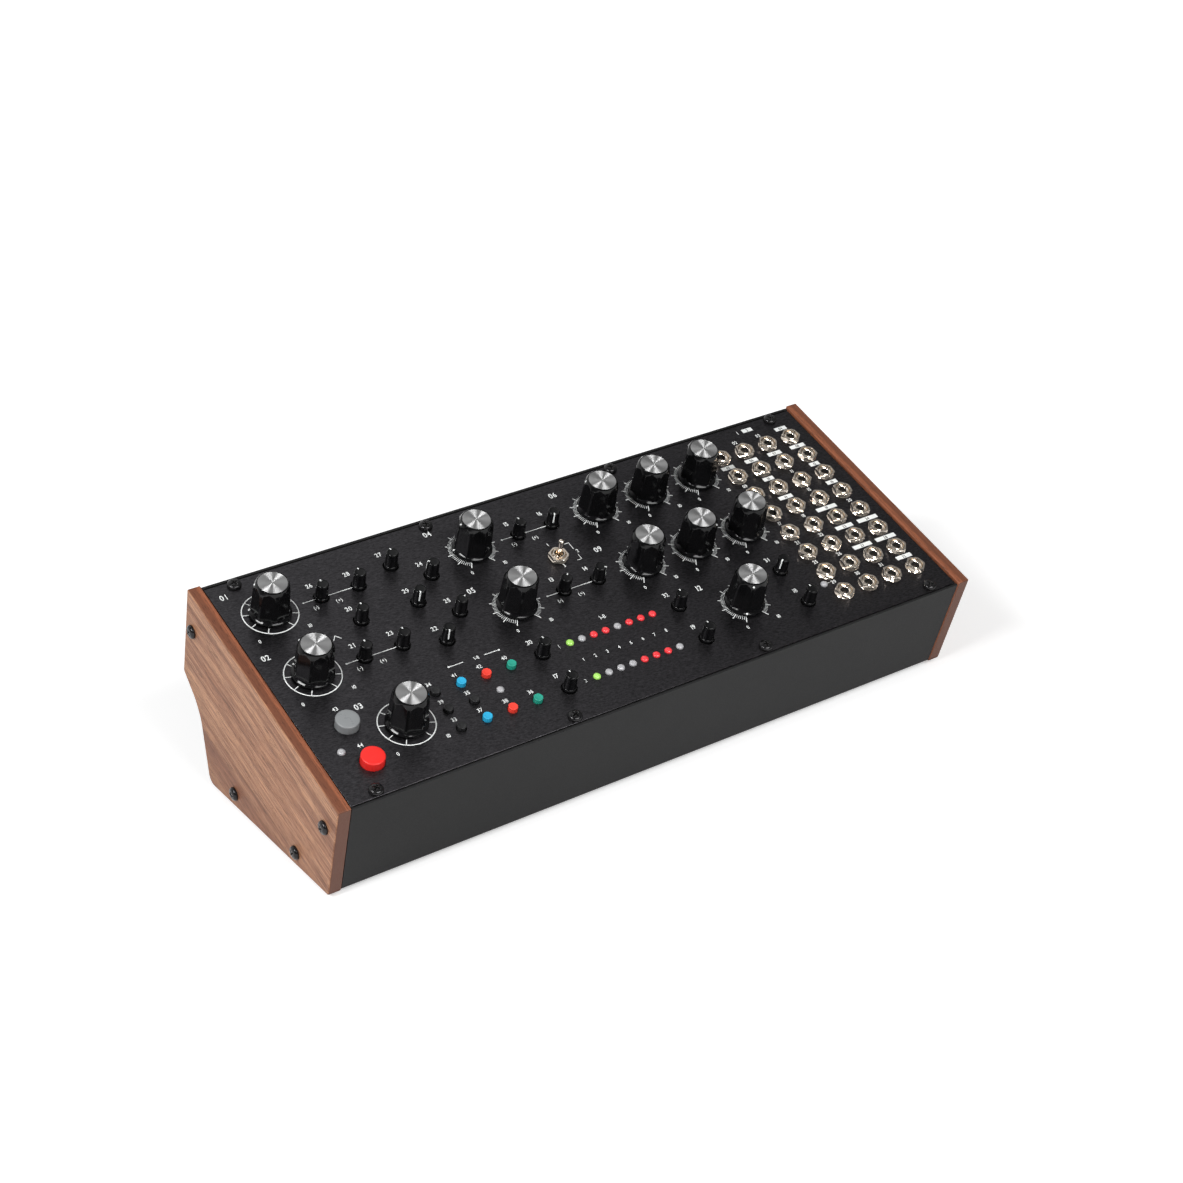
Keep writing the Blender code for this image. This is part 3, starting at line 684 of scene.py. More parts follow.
def oiled_walnut():
    """Walnut sawn along the slope: layers across the board, growth bands, fibres and open pores, and a front
    end darkened as end grain and painted shade.
    """
    made, tree, place = material("cheek_walnut", Specular_IOR_Level=0.30)
    tones = walnut_tones
    along = turned_to(tree, place, (panel_tilt, 0, 0))
    warp = noise(tree, stretched(tree, along, (14, 5, 22)), 1.0, 3.0, 0.5)
    drift = vectors(tree, "MULTIPLY_ADD", warp, (0.004, 0, 0.014), along)[0]
    bands = noise(tree, stretched(tree, drift, (260, 5, 210)), 1.0, 3.0, 0.62)
    broad = noise(tree, stretched(tree, drift, (60, 4, 42)), 1.0, 2.0, 0.5)
    fibre = placed(tree, streaks, Vector=along, Across=2600.0, Along=60.0)
    pores = placed(tree, streaks, Vector=along, Across=4200.0, Along=230.0)
    face = ramp(tree, bands, [(0.34, tones["dark"]), (0.46, tones["middle"]), (0.57, tones["pale"])])
    face = mixed(tree, ramp(tree, broad, [(0.36, 0.0), (0.64, 0.75)]), face, tones["cloud"])
    across = maths(tree, "ABSOLUTE", one_axis(tree, place, "X"))
    depth = maths(tree, "DIVIDE", maths(tree, "SUBTRACT", across, case_width / 2), cheek_thickness)
    waver = maths(tree, "MULTIPLY", maths(tree, "SUBTRACT", broad, 0.5), 0.30)
    layer = maths(tree, "ADD", depth, waver)
    layers = ramp(tree, layer, [(0.34, tones["inner"]), (0.50, tones["core"]), (0.90, tones["outer"])])
    layers = mixed(tree, maths(tree, "MULTIPLY", bands, 0.55), layers, tones["inner"])
    colour = mixed(tree, ramp(tree, depth, [(0.955, 0.0), (1.03, 1.0)]), layers, face)
    # end grain with painted shade: only the faces that look forward are darkened
    front = (0, -math.cos(panel_tilt), -math.sin(panel_tilt))
    facing = vectors(tree, "DOT_PRODUCT", outward(tree), front)["Value"]
    end_grain_and_shade = mixed(tree, noise(tree, place, 1500.0, 3.0, 0.6), tones["core"], tones["fibre"])
    colour = mixed(tree, ramp(tree, facing, [(0.75, 0.0), (0.92, 1.0)]), colour, end_grain_and_shade)
    colour = mixed(tree, ramp(tree, fibre, [(0.38, 0.78), (0.56, 0.0)]), colour, tones["fibre"])
    colour = mixed(tree, ramp(tree, pores, [(0.33, 0.85), (0.44, 0.0)]), colour, tones["pore"])
    return surfaced(made, colour, ramp(tree, pores, [(0.25, 0.62), (0.6, 0.46)]), pores, 0.22, 0.0002)


def knob_plastic():
    """Glossy black phenolic, a little scuffed, with a painted highlight along the upper edges of the flats.
    """
    made, tree, place = material("knob_gloss", Specular_IOR_Level=0.22)
    cloud = noise(tree, place, 240.0, 3.0, 0.6)
    scuffs = placed(tree, streaks, Vector=place, Across=900.0, Along=300.0)
    level = tree.nodes.new("ShaderNodeUVMap")
    level.uv_map = "height"
    height = one_axis(tree, level.outputs[0], "Y")
    band = ramp(tree, height, [(0.76, 0.0), (0.82, 1.0), (0.93, 1.0), (0.95, 0.0)])
    painted_highlight = placed(tree, edge_highlight, Width=0.00035, Vector=place)
    # painted highlight: the flats' upper edges are made pale, standing in for the reflection along them
    painted_flat_highlight = maths(tree, "MULTIPLY", maths(tree, "MULTIPLY", painted_highlight, band), 0.9)
    base = mixed(tree, cloud, (0.0030, 0.0030, 0.0033), (0.0050, 0.0050, 0.0055))
    colour = mixed(tree, painted_flat_highlight, base, (0.30, 0.30, 0.30))
    return surfaced(made, colour, ramp(tree, scuffs, [(0.3, 0.07), (0.75, 0.17)]), cloud, 0.02, 0.0002)


def turned_aluminium():
    """The knobs' inlay, faced on a lathe; its grooves run round the map made for it."""
    metal = {"Metallic": 1.0, "Anisotropic": 1.0, "Anisotropic_Rotation": 0.25}
    made, tree, _ = material("knob_disc", **metal)
    around = tree.nodes.new("ShaderNodeUVMap")
    around.uv_map = "turning"
    turn = maths(tree, "MULTIPLY", one_axis(tree, around.outputs[0], "X"), 1.6)
    reach = maths(tree, "MULTIPLY", one_axis(tree, around.outputs[0], "Y"), 42.0)
    grooves = noise(tree, node(tree, "ShaderNodeCombineXYZ", X=turn, Y=reach).outputs[0], 1.0, 4.0, 0.7)
    follow_map(tree, "turning")
    colour = mixed(tree, grooves, (0.48, 0.48, 0.48), (0.66, 0.66, 0.66))
    return surfaced(made, colour, ramp(tree, grooves, [(0.2, 0.46), (0.8, 0.54)]), grooves, 0.04, 0.0001)


def bright_nickel():
    """Warm bright nickel plate."""
    made, tree, place = material("nut_nickel", Metallic=1.0)
    marks = placed(tree, streaks, Vector=place, Across=1500.0, Along=500.0)
    colour = mixed(tree, noise(tree, place, 130.0, 3.0, 0.6), (0.84, 0.735, 0.62), (0.93, 0.85, 0.75))
    return surfaced(made, colour, ramp(tree, marks, [(0.3, 0.10), (0.75, 0.26)]), marks, 0.05, 0.0001)


def plain_steel():
    """Zinc-plated steel, dull and mottled."""
    made, tree, place = material("bar_steel", Metallic=1.0)
    spangle = noise(tree, place, 320.0, 3.0, 0.6)
    colour = mixed(tree, spangle, (0.36, 0.36, 0.35), (0.52, 0.51, 0.49))
    return surfaced(made, colour, ramp(tree, spangle, [(0.3, 0.34), (0.7, 0.5)]), spangle, 0.1, 0.0002)


def black_screw():
    """Blackened screw, oily in its recess, with a painted highlight along its edges."""
    made, tree, place = material("screw_black", Metallic=0.6, Specular_IOR_Level=0.6)
    cloud = noise(tree, place, 500.0, 3.0, 0.6)
    painted_highlight = maths(tree, "MULTIPLY", placed(tree, edge_highlight, Width=0.0003, Vector=place), 0.4)
    base = mixed(tree, cloud, (0.010, 0.010, 0.011), (0.024, 0.023, 0.024))
    # painted highlight: the head is made paler where an edge is near
    colour = mixed(tree, painted_highlight, base, (0.16, 0.15, 0.14))
    return surfaced(made, colour, ramp(tree, cloud, [(0.3, 0.14), (0.7, 0.3)]), cloud, 0.06, 0.0001)


def moulded(name, dark, light, roughness=(0.32, 0.48)):
    """Moulded plastic or rubber, its colour clouded and its skin finely grained."""
    made, tree, place = material(name, Specular_IOR_Level=0.4)
    cloud = noise(tree, place, 180.0, 3.0, 0.6)
    grain = noise(tree, place, 5200.0, 2.0, 0.5)
    film = placed(tree, dust, Vector=place, Amount=0.04)
    colour = mixed(tree, film, mixed(tree, cloud, dark, light), (0.5, 0.5, 0.5))
    rough = ramp(tree, cloud, [(0.3, roughness[0]), (0.7, roughness[1])])
    return surfaced(made, colour, rough, grain, 0.08, 0.00006)


def printed(name, dark, light):
    """Screen ink: solid, with the mesh's faint mottle."""
    made, tree, place = material(name, Specular_IOR_Level=0.3)
    mottle = noise(tree, place, 3200.0, 2.0, 0.5)
    return surfaced(made, mixed(tree, mottle, dark, light), 0.55, mottle, 0.05, 0.00002)


def lens(name, dark, light, glow):
    """A lamp's grainy diffusing lens, glowing a little when it is lit."""
    made, tree, place = material(name, Emission_Strength=glow, Coat_Weight=0.5, Coat_Roughness=0.08)
    grains = noise(tree, place, 2600.0, 3.0, 0.6)
    colour = mixed(tree, ramp(tree, grains, [(0.35, 0.0), (0.70, 1.0)]), dark, light)
    feed(tree, principled(tree).inputs["Emission Color"], colour)
    return surfaced(made, colour, ramp(tree, grains, [(0.3, 0.25), (0.7, 0.4)]), grains, 0.1, 0.0001)


def circuit_board():
    """Green solder mask, with the parts that stand on the board above it in black and steel."""
    made, tree, place = material("board_mask", Specular_IOR_Level=0.5)
    flat = turned_to(tree, place, (panel_tilt, 0, 0), tuple(panel_middle))
    above = maths(tree, "GREATER_THAN", one_axis(tree, flat, "Z"), -panel_thickness - board_parts_drop)
    tracks = node(tree, "ShaderNodeTexBrick", Vector=flat, Scale=140.0, Mortar_Size=0.06).outputs["Fac"]
    mask = mixed(tree, tracks, (0.012, 0.075, 0.030), (0.030, 0.140, 0.060))
    parts = mixed(tree, noise(tree, place, 90.0, 2.0, 0.5), (0.30, 0.31, 0.32), (0.46, 0.46, 0.45))
    colour = mixed(tree, above, mask, parts)
    return surfaced(made, colour, ramp(tree, above, [(0.0, 0.3), (1.0, 0.45)]), tracks, 0.2, 0.00005)


anodised = brushed_black()
powder = powder_black()
walnut = oiled_walnut()
gloss = knob_plastic()
disc_metal = turned_aluminium()
nickel = bright_nickel()
steel = plain_steel()
screw_metal = black_screw()
rubber = moulded("foot_rubber", (0.010, 0.010, 0.010), (0.018, 0.018, 0.017), (0.6, 0.8))
bore_plastic = moulded("bore_black", (0.0010, 0.0010, 0.0010), (0.0018, 0.0018, 0.0018), (0.75, 0.9))
socket_plastic = moulded("socket_black", (0.006, 0.006, 0.006), (0.012, 0.012, 0.012), (0.35, 0.5))
white_ink = printed("white_ink", (0.76, 0.78, 0.77), (0.90, 0.92, 0.91))
dark_ink = printed("dark_ink", (0.018, 0.018, 0.019), (0.035, 0.035, 0.036))
board = circuit_board()
cap_materials = {
    "trigger": moulded("grey_cap", (0.21, 0.22, 0.225), (0.26, 0.27, 0.275), (0.26, 0.40)),
    "run": moulded("red_cap", (0.80, 0.018, 0.014), (0.92, 0.028, 0.022)),
    "length": moulded("blue_cap", (0.020, 0.36, 0.62), (0.030, 0.46, 0.76)),
    "shift": moulded("coral_cap", (0.82, 0.045, 0.028), (0.95, 0.065, 0.040)),
    "flip": moulded("teal_cap", (0.015, 0.29, 0.20), (0.025, 0.38, 0.28)),
    "": moulded("black_cap", (0.006, 0.006, 0.0065), (0.011, 0.011, 0.012)),
}
cap_slots = {
    "trigger": "grey_cap",
    "run": "red_cap",
    "length": "blue_cap",
    "shift": "coral_cap",
    "flip": "teal_cap",
    "": "black_cap",
}
lenses = {
    "g": lens("green_lens", (0.20, 0.52, 0.03), (0.46, 0.74, 0.22), 0.35),
    "r": lens("red_lens", (0.66, 0.016, 0.022), (0.90, 0.070, 0.080), 0.25),
    "o": lens("clear_lens", (0.30, 0.30, 0.31), (0.62, 0.62, 0.64), 0.0),
}


# Panel


def build_panel():
    """The panel plate with all its holes, and its eight screws."""
    half = Vector((panel_width / 2 + panel_lap, panel_height / 2, 0))
    plate = block("panel_plate", (-half.x, -half.y, -panel_thickness), (half.x, half.y - panel_rear_gap, 0))
    bevel_edges(plate, lambda edge: all(vert.co.z > -panel_edge for vert in edge.verts), panel_edge, 3)

    holes = [(panel_place(name), knob_shaft_radius, 24) for name in large_knobs]
    holes += [(panel_place(name), pin_hole_radius - panel_hole_gap, 40) for name in small_knobs]
    holes += [(panel_place(name), large_cap_radius, 64) for name in large_buttons]
    holes += [(panel_place(name), small_cap_radius, 40) for name in small_buttons]
    holes += [(place, lamp_radius - panel_hole_gap / 2, 32) for place, _ in lamp_places()]
    holes += [(panel_place("toggle_lever"), barrel_radius, 24)]
    holes += [(place, barrel_radius, 24) for place in jack_places()]
    tools = []
    for place, radius, sides in holes:
        deselect()
        bpy.ops.mesh.primitive_cylinder_add(
            vertices=sides,
            radius=radius + panel_hole_gap,
            depth=3 * panel_thickness,
            location=(*place, 0),
        )
        tools.append(bpy.context.object)
    cut(plate, joined("panel_drill", tools))
    close_up(plate)
    map_flat(plate)
    finish(plate, anodised)
    settle(plate, panel)

    head = build_screw()
    turns = random.Random(4)
    heads = [
        copied(head, "screw", on_panel(place, turns.uniform(0, math.pi))) for place in panel_screw_places()
    ]
    heads = joined("panel_screws", heads)
    dress(plate, "housing", "black_anodised", "front_panel")
    dress(heads, "housing", "black_steel", "front_panel")
    return head


def map_flat(piece):
    """A map whose u runs along the panel and v up its slope, for a brushed finish."""
    layer = piece.data.uv_layers.new(name="brushing")
    for loop in piece.data.loops:
        place = piece.data.vertices[loop.vertex_index].co
        layer.data[loop.index].uv = (place.x / panel_width, place.y / panel_width)


def build_screw():
    """A pan-head screw with a cross recess, standing on z = 0."""
    r, h = screw_radius, screw_height
    profile = [
        (r * 0.96, 0),
        (r, h * 0.10),
        (r * 0.995, h * 0.40),
        (r * 0.94, h * 0.62),
        (r * 0.82, h * 0.80),
        (r * 0.62, h * 0.93),
        (r * 0.35, h * 0.99),
        (r * 0.12, h),
    ]
    head = turned("screw_head", profile, 40)
    for turn in (0, math.pi / 2):
        half = Vector((recess_length / 2, recess_width / 2, recess_depth))
        slot = block("recess", (-half.x, -half.y, h - half.z), (half.x, half.y, h * 1.2))
        edit(slot)
        choose("VERT", lambda vert: vert.co.z < h - half.z / 2)
        bpy.ops.transform.resize(value=(0.35, 0.6, 1), center_override=(0, 0, 0))
        done()
        settle(slot, Matrix.Rotation(turn, 4, "Z"))
        cut(head, slot)
    close_up(head)
    return finish(head, screw_metal)


# Case and cheeks


def outline_corners(inset, top_drop):
    """The six corners of the side outline as (y, z), moved inwards; each with its radius and steps."""
    up = Vector((math.cos(panel_tilt), math.sin(panel_tilt)))
    out = Vector((-math.sin(panel_tilt), math.cos(panel_tilt)))
    front_top = out * front_height
    rear_top = front_top + up * cheek_length
    kink = rear_top - out * rear_height
    heel = Vector((kink.x - overhang, 0))
    sweep = Vector((math.sin(sweep_angle), math.cos(sweep_angle)))
    lines = [
        (front_top + up * inset, out),
        (Vector((0, inset)), Vector((1, 0))),
        (heel - Vector((inset, 0)), Vector((0, 1))),
        (kink + Vector((-sweep.y, sweep.x)) * inset, sweep),
        (rear_top - up * inset, out),
        (rear_top - out * top_drop, up),
    ]
    middle = (panel_middle.y, panel_middle.z)
    reference = front_top + up * (cheek_length / 2) - out * cheek_proud
    corners = []
    for (place, way), (next_place, next_way) in zip(lines, lines[1:] + lines[:1]):
        turn = way.x * next_way.y - way.y * next_way.x
        gap = next_place - place
        corner = place + way * ((gap.x * next_way.y - gap.y * next_way.x) / turn)
        corners.append((corner.x - reference.x + middle[0], corner.y - reference.y + middle[1]))
    radii = (fold_radius, heel_radius - inset, sweep_radius + inset, kink_radius, 0, 0)
    return list(zip(corners, radii, (5, 8, 14, 6, 0, 0)))


def side_solid(name, left, right, inset=0.0, top_drop=0.0):
    """The side outline drawn across from x = left to x = right: a six-sided face, rounded and extruded."""
    deselect()
    corners = outline_corners(inset, top_drop)
    bpy.ops.mesh.primitive_circle_add(vertices=len(corners), radius=1, fill_type="NGON")
    piece = named(name)
    for vertex, (corner, _, _) in zip(piece.data.vertices, corners):
        vertex.co = (left, *corner)
    edit(piece)
    for corner, radius, steps in corners:
        if radius:
            spot = Vector((left, *corner))
            choose("VERT", lambda vert: (vert.co - spot).length < fold_radius / 10)
            reach = corner_reach(corner, radius, corners)
            bpy.ops.mesh.bevel(offset=reach, segments=steps, affect="VERTICES")
    bpy.ops.mesh.select_mode(type="FACE")
    bpy.ops.mesh.select_all(action="SELECT")
    bpy.ops.mesh.extrude_region_move(TRANSFORM_OT_translate={"value": (right - left, 0, 0)})
    done()
    return close_up(piece)


def corner_reach(corner, radius, corners):
    """How far along its two sides a corner's arc starts."""
    places = [Vector(place) for place, _, _ in corners]
    index = [tuple(place) for place in places].index(tuple(Vector(corner)))
    before = (places[index - 1] - places[index]).normalized()
    after = (places[(index + 1) % len(places)] - places[index]).normalized()
    return radius / math.tan(before.angle(after) / 2)


def build_case():
    """The folded case: outer skin less its hollow, with the folded corners and the rim's edges eased."""
    half = case_width / 2
    case = side_solid("case_body", -half, half, case_inset, cheek_proud + rim_drop)
    wall = half - sheet_thickness
    hollow = side_solid("case_hollow", -wall, wall, case_inset + sheet_thickness, -cheek_proud)
    cut(case, hollow)
    for side in (-1, 1):
        foot = -panel_thickness - wall_step_drop
        low = Vector((half - sheet_thickness * 1.4, -panel_height / 2, foot))
        high = Vector((half + sheet_thickness, panel_height / 2, sheet_thickness))
        step = block("wall_step", low, high)
        cut(case, settle(step, panel @ Matrix.Rotation(0 if side > 0 else math.pi, 4, "Z")))
    for node_name, radius in wall_holes.items():
        hole = turned("wall_hole", [(radius, -wall_hole_reach), (radius, wall_hole_reach)], 48)
        settle(hole, rear_wall(node_name))
        cut(case, hole)
    normal = Vector((0, -math.sin(panel_tilt), math.cos(panel_tilt)))
    rim = normal.dot(panel_middle) - rim_drop
    bevel_edges(
        case,
        lambda edge: all(abs(normal.dot(vert.co) - rim) < sheet_thickness / 20 for vert in edge.verts),
        sheet_thickness / 4,
        2,
    )
    close_up(case)
    finish(case, powder)
    dress(case, "housing", "black_steel", "case_shell")


def rear_wall(node_name):
    """A place on the upper rear wall's outer face at a node's height, with z pointing out of the wall."""
    low, high = (Vector(corner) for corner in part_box(node_name))
    corners = outline_corners(case_inset, cheek_proud)
    kink, top = Vector(corners[3][0]), Vector(corners[4][0])
    way = (top - kink).normalized()
    out = Vector((way.y, -way.x))
    points = [Vector(vertex.co[1:]) for vertex in frame["nodes"][node_name].data.vertices]
    farthest = max(point.dot(out) for point in points)
    rim = [point.dot(way) for point in points if point.dot(out) > farthest - sheet_thickness / 10]
    height = (min(rim) + max(rim)) / 2
    place = way * height + out * kink.dot(out)
    middle = Matrix.Translation(((low.x + high.x) / 2, place.x, place.y))
    return middle @ Matrix.Rotation(panel_tilt - math.pi / 2, 4, "X")


def build_cheek(name, side, head):
    """A solid walnut cheek with eased edges, and its four screws."""
    inner = side * (case_width / 2 + cheek_gap)
    outer = inner + side * cheek_thickness
    cheek = side_solid(name + "_wood", min(inner, outer), max(inner, outer))
    ends = (inner, outer)
    bevel_edges(
        cheek,
        lambda edge: any(all(abs(vert.co.x - end) < cheek_edge / 10 for vert in edge.verts) for end in ends),
        cheek_edge,
        3,
    )
    close_up(cheek)
    finish(cheek, walnut)
    turns = random.Random(9 + side)
    heads = []
    for place in cheek_screw_places():
        stand = Matrix.Translation((outer, *place)) @ Matrix.Rotation(side * math.pi / 2, 4, "Y")
        heads.append(copied(head, "screw", stand @ Matrix.Rotation(turns.uniform(0, math.pi), 4, "Z")))
    heads = joined(name + "_screws", heads)
    dress(cheek, "housing", "walnut", name)
    dress(heads, "housing", "black_steel", name)


def cheek_screw_places():
    """(y, z) of a cheek's four screws, as shares of the case's depth and height."""
    corners = [Vector(corner) for corner, _, _ in outline_corners(0, 0)]
    foot, heel, top = corners[0], corners[1], corners[4]
    depth = heel.x - foot.x
    height = top.y - foot.y
    return [
        (foot.x + depth_share * depth, foot.y + height_share * height)
        for depth_share, height_share in cheek_screw_shares
    ]


# Knobs


def build_large_knob():
    """A knob at rest with its pointer up the slope: flared skirt, seven flats, turned inlay and two dots."""
    shoulder = knob_height - shoulder_height
    grip_profile = [
        (grip_foot_radius * 0.9, skirt_foot + 0.0004),
        (grip_foot_radius + 0.00008, skirt_foot + 0.0006),
        (grip_foot_radius, 0.0044),
        (shoulder_radius, shoulder_height),
        (shoulder_radius - 0.00012, shoulder_height + shoulder * 0.18),
        (shoulder_radius - 0.00040, shoulder_height + shoulder * 0.42),
        (rim_radius + 0.00028, knob_height - shoulder * 0.22),
        (rim_radius + 0.00006, knob_height - shoulder * 0.07),
        (rim_radius - 0.00010, knob_height),
        (disc_radius, knob_height),
        (disc_radius, knob_height - 0.00030),
    ]
    grip = turned("knob_grip", grip_profile, 112)
    cutter = build_flat_cutter()
    for step in range(knob_sides):
        turn = Matrix.Rotation(2 * math.pi * (step + 0.5) / knob_sides, 4, "Z")
        cut(grip, copied(cutter, "flat_cutter", turn))
    bpy.data.objects.remove(cutter)
    skirt_profile = [
        (knob_shaft_radius, -panel_thickness),
        (knob_shaft_radius, skirt_foot),
        (skirt_radius - 0.0003, skirt_foot),
        (skirt_radius - 0.0001, skirt_foot + 0.0001),
        (skirt_radius, skirt_foot + 0.0004),
        (skirt_radius, flare_foot - 0.00045),
        (skirt_radius - 0.00003, flare_foot - 0.00020),
        (skirt_radius - 0.00010, flare_foot),
    ]
    radius, height = skirt_profile[-1]
    for run, degrees in flare:
        radius -= run
        height += run * math.tan(math.radians(degrees))
        skirt_profile.append((radius, height))
    skirt_profile += [(flat_foot_reach * 0.9, height + 0.0004), (flat_foot_reach * 0.5, height + 0.0005)]
    body = turned("knob_body", skirt_profile, 112)
    cut(body, grip, "UNION")
    soften(body, 0.00020, 24)
    map_height(body, knob_height)
    disc_profile = [
        (disc_radius - 0.00004, knob_height - 0.0004),
        (disc_radius - 0.00004, knob_height - 0.00004),
        (disc_radius - 0.00024, knob_height + 0.00006),
        (disc_radius * 0.35, knob_height + 0.00006),
        (disc_radius * 0.03, knob_height + 0.00006),
    ]
    disc = turned("knob_disc", disc_profile, 96)
    map_round(disc)
    dots = []
    for radius, place, lean_back in (
        (0.00045, (0, shoulder_radius - 0.00046, knob_height - shoulder * 0.50), 50),
        (0.00048, (0, skirt_radius - 0.00030, 0.00192), 42),
    ):
        dot = turned("pointer_dot", [(radius, -0.0002), (radius, 0.00008), (radius * 0.8, 0.00016)], 20)
        settle(dot, Matrix.Translation(place) @ Matrix.Rotation(-math.radians(lean_back), 4, "X"))
        dots.append(dot)
    for piece, look in ((body, gloss), (disc, disc_metal), (dots[0], white_ink), (dots[1], white_ink)):
        finish(piece, look)
    return joined("large_knob", [body, disc, *dots])


def build_flat_cutter():
    """What one flat takes off the grip: a block whose inner face leans with it."""
    lean = math.atan2(flat_foot_reach - flat_top_reach, knob_height - flat_foot)
    side = skirt_radius * 0.6
    top = knob_height * 1.2
    cutter = block("flat_cutter", (-side, flat_foot_reach, 0), (side, flat_foot_reach + skirt_radius, top))
    edit(cutter)
    choose("VERT", lambda vert: vert.co.y < flat_foot_reach * 1.1 and vert.co.z > knob_height)
    bpy.ops.transform.translate(value=(0, -math.tan(lean) * (top - flat_foot), 0))
    choose("VERT", lambda vert: vert.co.y < flat_foot_reach * 1.1 and vert.co.z < flat_foot)
    bpy.ops.transform.translate(value=(0, math.tan(lean) * flat_foot, 0))
    done()
    return close_up(cutter)


def soften(piece, width, least_angle):
    """Rounds the edges sharper than an angle with a bevel that is applied."""
    only(piece)
    modifier = piece.modifiers.new("soften", "BEVEL")
    modifier.width = width
    modifier.segments = 2
    modifier.limit_method = "ANGLE"
    modifier.angle_limit = math.radians(least_angle)
    bpy.ops.object.modifier_apply(modifier=modifier.name)
    return close_up(piece)


def map_height(piece, height):
    """A map whose v is the share of a piece's height, for a painted highlight that keeps to one level."""
    layer = piece.data.uv_layers.new(name="height")
    for loop in piece.data.loops:
        place = piece.data.vertices[loop.vertex_index].co
        layer.data[loop.index].uv = (math.atan2(place.y, place.x) / (2 * math.pi) + 0.5, place.z / height)


def map_round(piece):
    """A map whose u runs round the z axis, for a finish that was turned on a lathe."""
    layer = piece.data.uv_layers.new(name="turning")
    for polygon in piece.data.polygons:
        middle = math.atan2(polygon.center.y, polygon.center.x)
        for loop in polygon.loop_indices:
            point = piece.data.vertices[piece.data.loops[loop].vertex_index].co
            turn = math.atan2(point.y, point.x) - middle
            turn = (turn + math.pi) % (2 * math.pi) - math.pi
            layer.data[loop].uv = ((middle + turn) / (2 * math.pi), point.xy.length / disc_radius)


def build_small_knob():
    """A slim knob, its pointer up the slope: collar, waist, grip with an eased crown and a white line."""
    profile = [
        (pin_collar_radius - 0.0002, pin_collar_foot),
        (pin_collar_radius, pin_collar_foot + 0.0002),
        (pin_collar_radius, 0.0006),
        (pin_collar_radius - 0.00005, 0.0009),
        (pin_collar_radius - 0.00022, 0.0012),
        (pin_foot_radius - 0.00012, 0.0013),
        (pin_foot_radius - 0.00014, 0.0015),
        (pin_foot_radius, 0.0017),
        (pin_foot_radius, 0.0021),
        (pin_top_radius, pin_knob_height - 0.00045),
        (pin_top_radius - 0.00004, pin_knob_height - 0.00030),
        (pin_top_radius - 0.00020, pin_knob_height - 0.00008),
        (pin_top_radius - 0.00036, pin_knob_height),
        (pin_top_radius - 0.00055, pin_knob_height - 0.00006),
        (pin_top_radius * 0.4, pin_knob_height - 0.00010),
    ]
    knob = finish(turned("small_knob_body", profile, 48), gloss)
    half = 0.00028
    inner = pin_top_radius * 0.60
    low = 0.0036
    line = block("line", (-half, inner, low), (half, pin_top_radius + 0.0003, pin_knob_height + 0.00004))
    edit(line)
    choose("VERT", lambda vert: vert.co.y < inner * 1.1 and vert.co.z < pin_knob_height)
    bpy.ops.transform.translate(value=(0, pin_top_radius - inner - 0.0003, 0))
    choose("VERT", lambda vert: vert.co.z > pin_knob_height and vert.co.y > inner * 1.1)
    bpy.ops.transform.translate(value=(0, -0.00026, 0))

    def front_crown(edge):
        front = pin_top_radius - 0.0001
        return all(vert.co.y > front and vert.co.z > pin_knob_height for vert in edge.verts)

    choose("EDGE", front_crown)
    bpy.ops.mesh.bevel(offset=0.00034, segments=3, profile=0.5, affect="EDGES")
    done()
    return joined("small_knob", [knob, finish(close_up(line), white_ink)])


def place_knobs(model, names):
    for name in names:
        piece = copied(model, name + "_dressed", on_panel(panel_place(name), pointer_turn(name)))
        dress(piece, name + "_body", "knob_black", name)
    bpy.data.objects.remove(model)


# Push buttons


def build_cap(radius, rise, dish):
    """A cap with a wider foot under the panel, an eased rim and a shallow dish or crown."""
    ease = radius * 0.12
    profile = [
        (radius + cap_flange, -cap_foot_depth),
        (radius + cap_flange, -cap_flange_depth),
        (radius, -cap_flange_depth),
        (radius, rise - ease),
        (radius - ease * 0.15, rise - ease * 0.5),
        (radius - ease * 0.5, rise - ease * 0.15),
        (radius - ease, rise),
        (radius * 0.72, rise - dish * 0.2),
        (radius * 0.62, rise - dish),
        (radius * 0.3, rise - dish * 1.1),
    ]
    return turned("cap", profile, 64)


def place_buttons(names, radius, rise, dish):
    model = build_cap(radius, rise, dish)
    for name in names:
        word = next(word for word in cap_materials if word in name)
        piece = copied(model, name + "_cap", on_panel(panel_place(name)))
        finish(piece, cap_materials[word])
        dress(piece, name + "_body", cap_slots[word], name)
    bpy.data.objects.remove(model)


# Lamps


def lamp_places():
    """Every lamp's place on the panel and whether it is lit green, lit red or off."""
    places = []
    for row, y in lamp_rows.items():
        for step, state in enumerate(lamp_states[row]):
            places.append(((lamp_start + step * lamp_pitch, y), state))
    return places + [(place, "o") for place in single_lamps]


def build_lamps():
    """Domed lenses over the lamps on the boards."""
    r = lamp_radius
    profile = [(r, -0.0040), (r, 0.0002)]
    profile += [
        (r * math.cos(angle), 0.0002 + (lamp_rise - 0.0002) * math.sin(angle))
        for angle in (math.radians(degrees) for degrees in (20, 40, 58, 74, 86))
    ]
    model = turned("lens", profile, 32)
    names = {"g": "green_lamps", "r": "red_lamps", "o": "unlit_lamps"}
    for state, name in names.items():
        copies = [copied(model, "lens", on_panel(place)) for place, lit in lamp_places() if lit == state]
        piece = finish(joined(name, copies), lenses[state])
        dress(piece, "housing", "black_plastic")
    bpy.data.objects.remove(model)


# Jacks


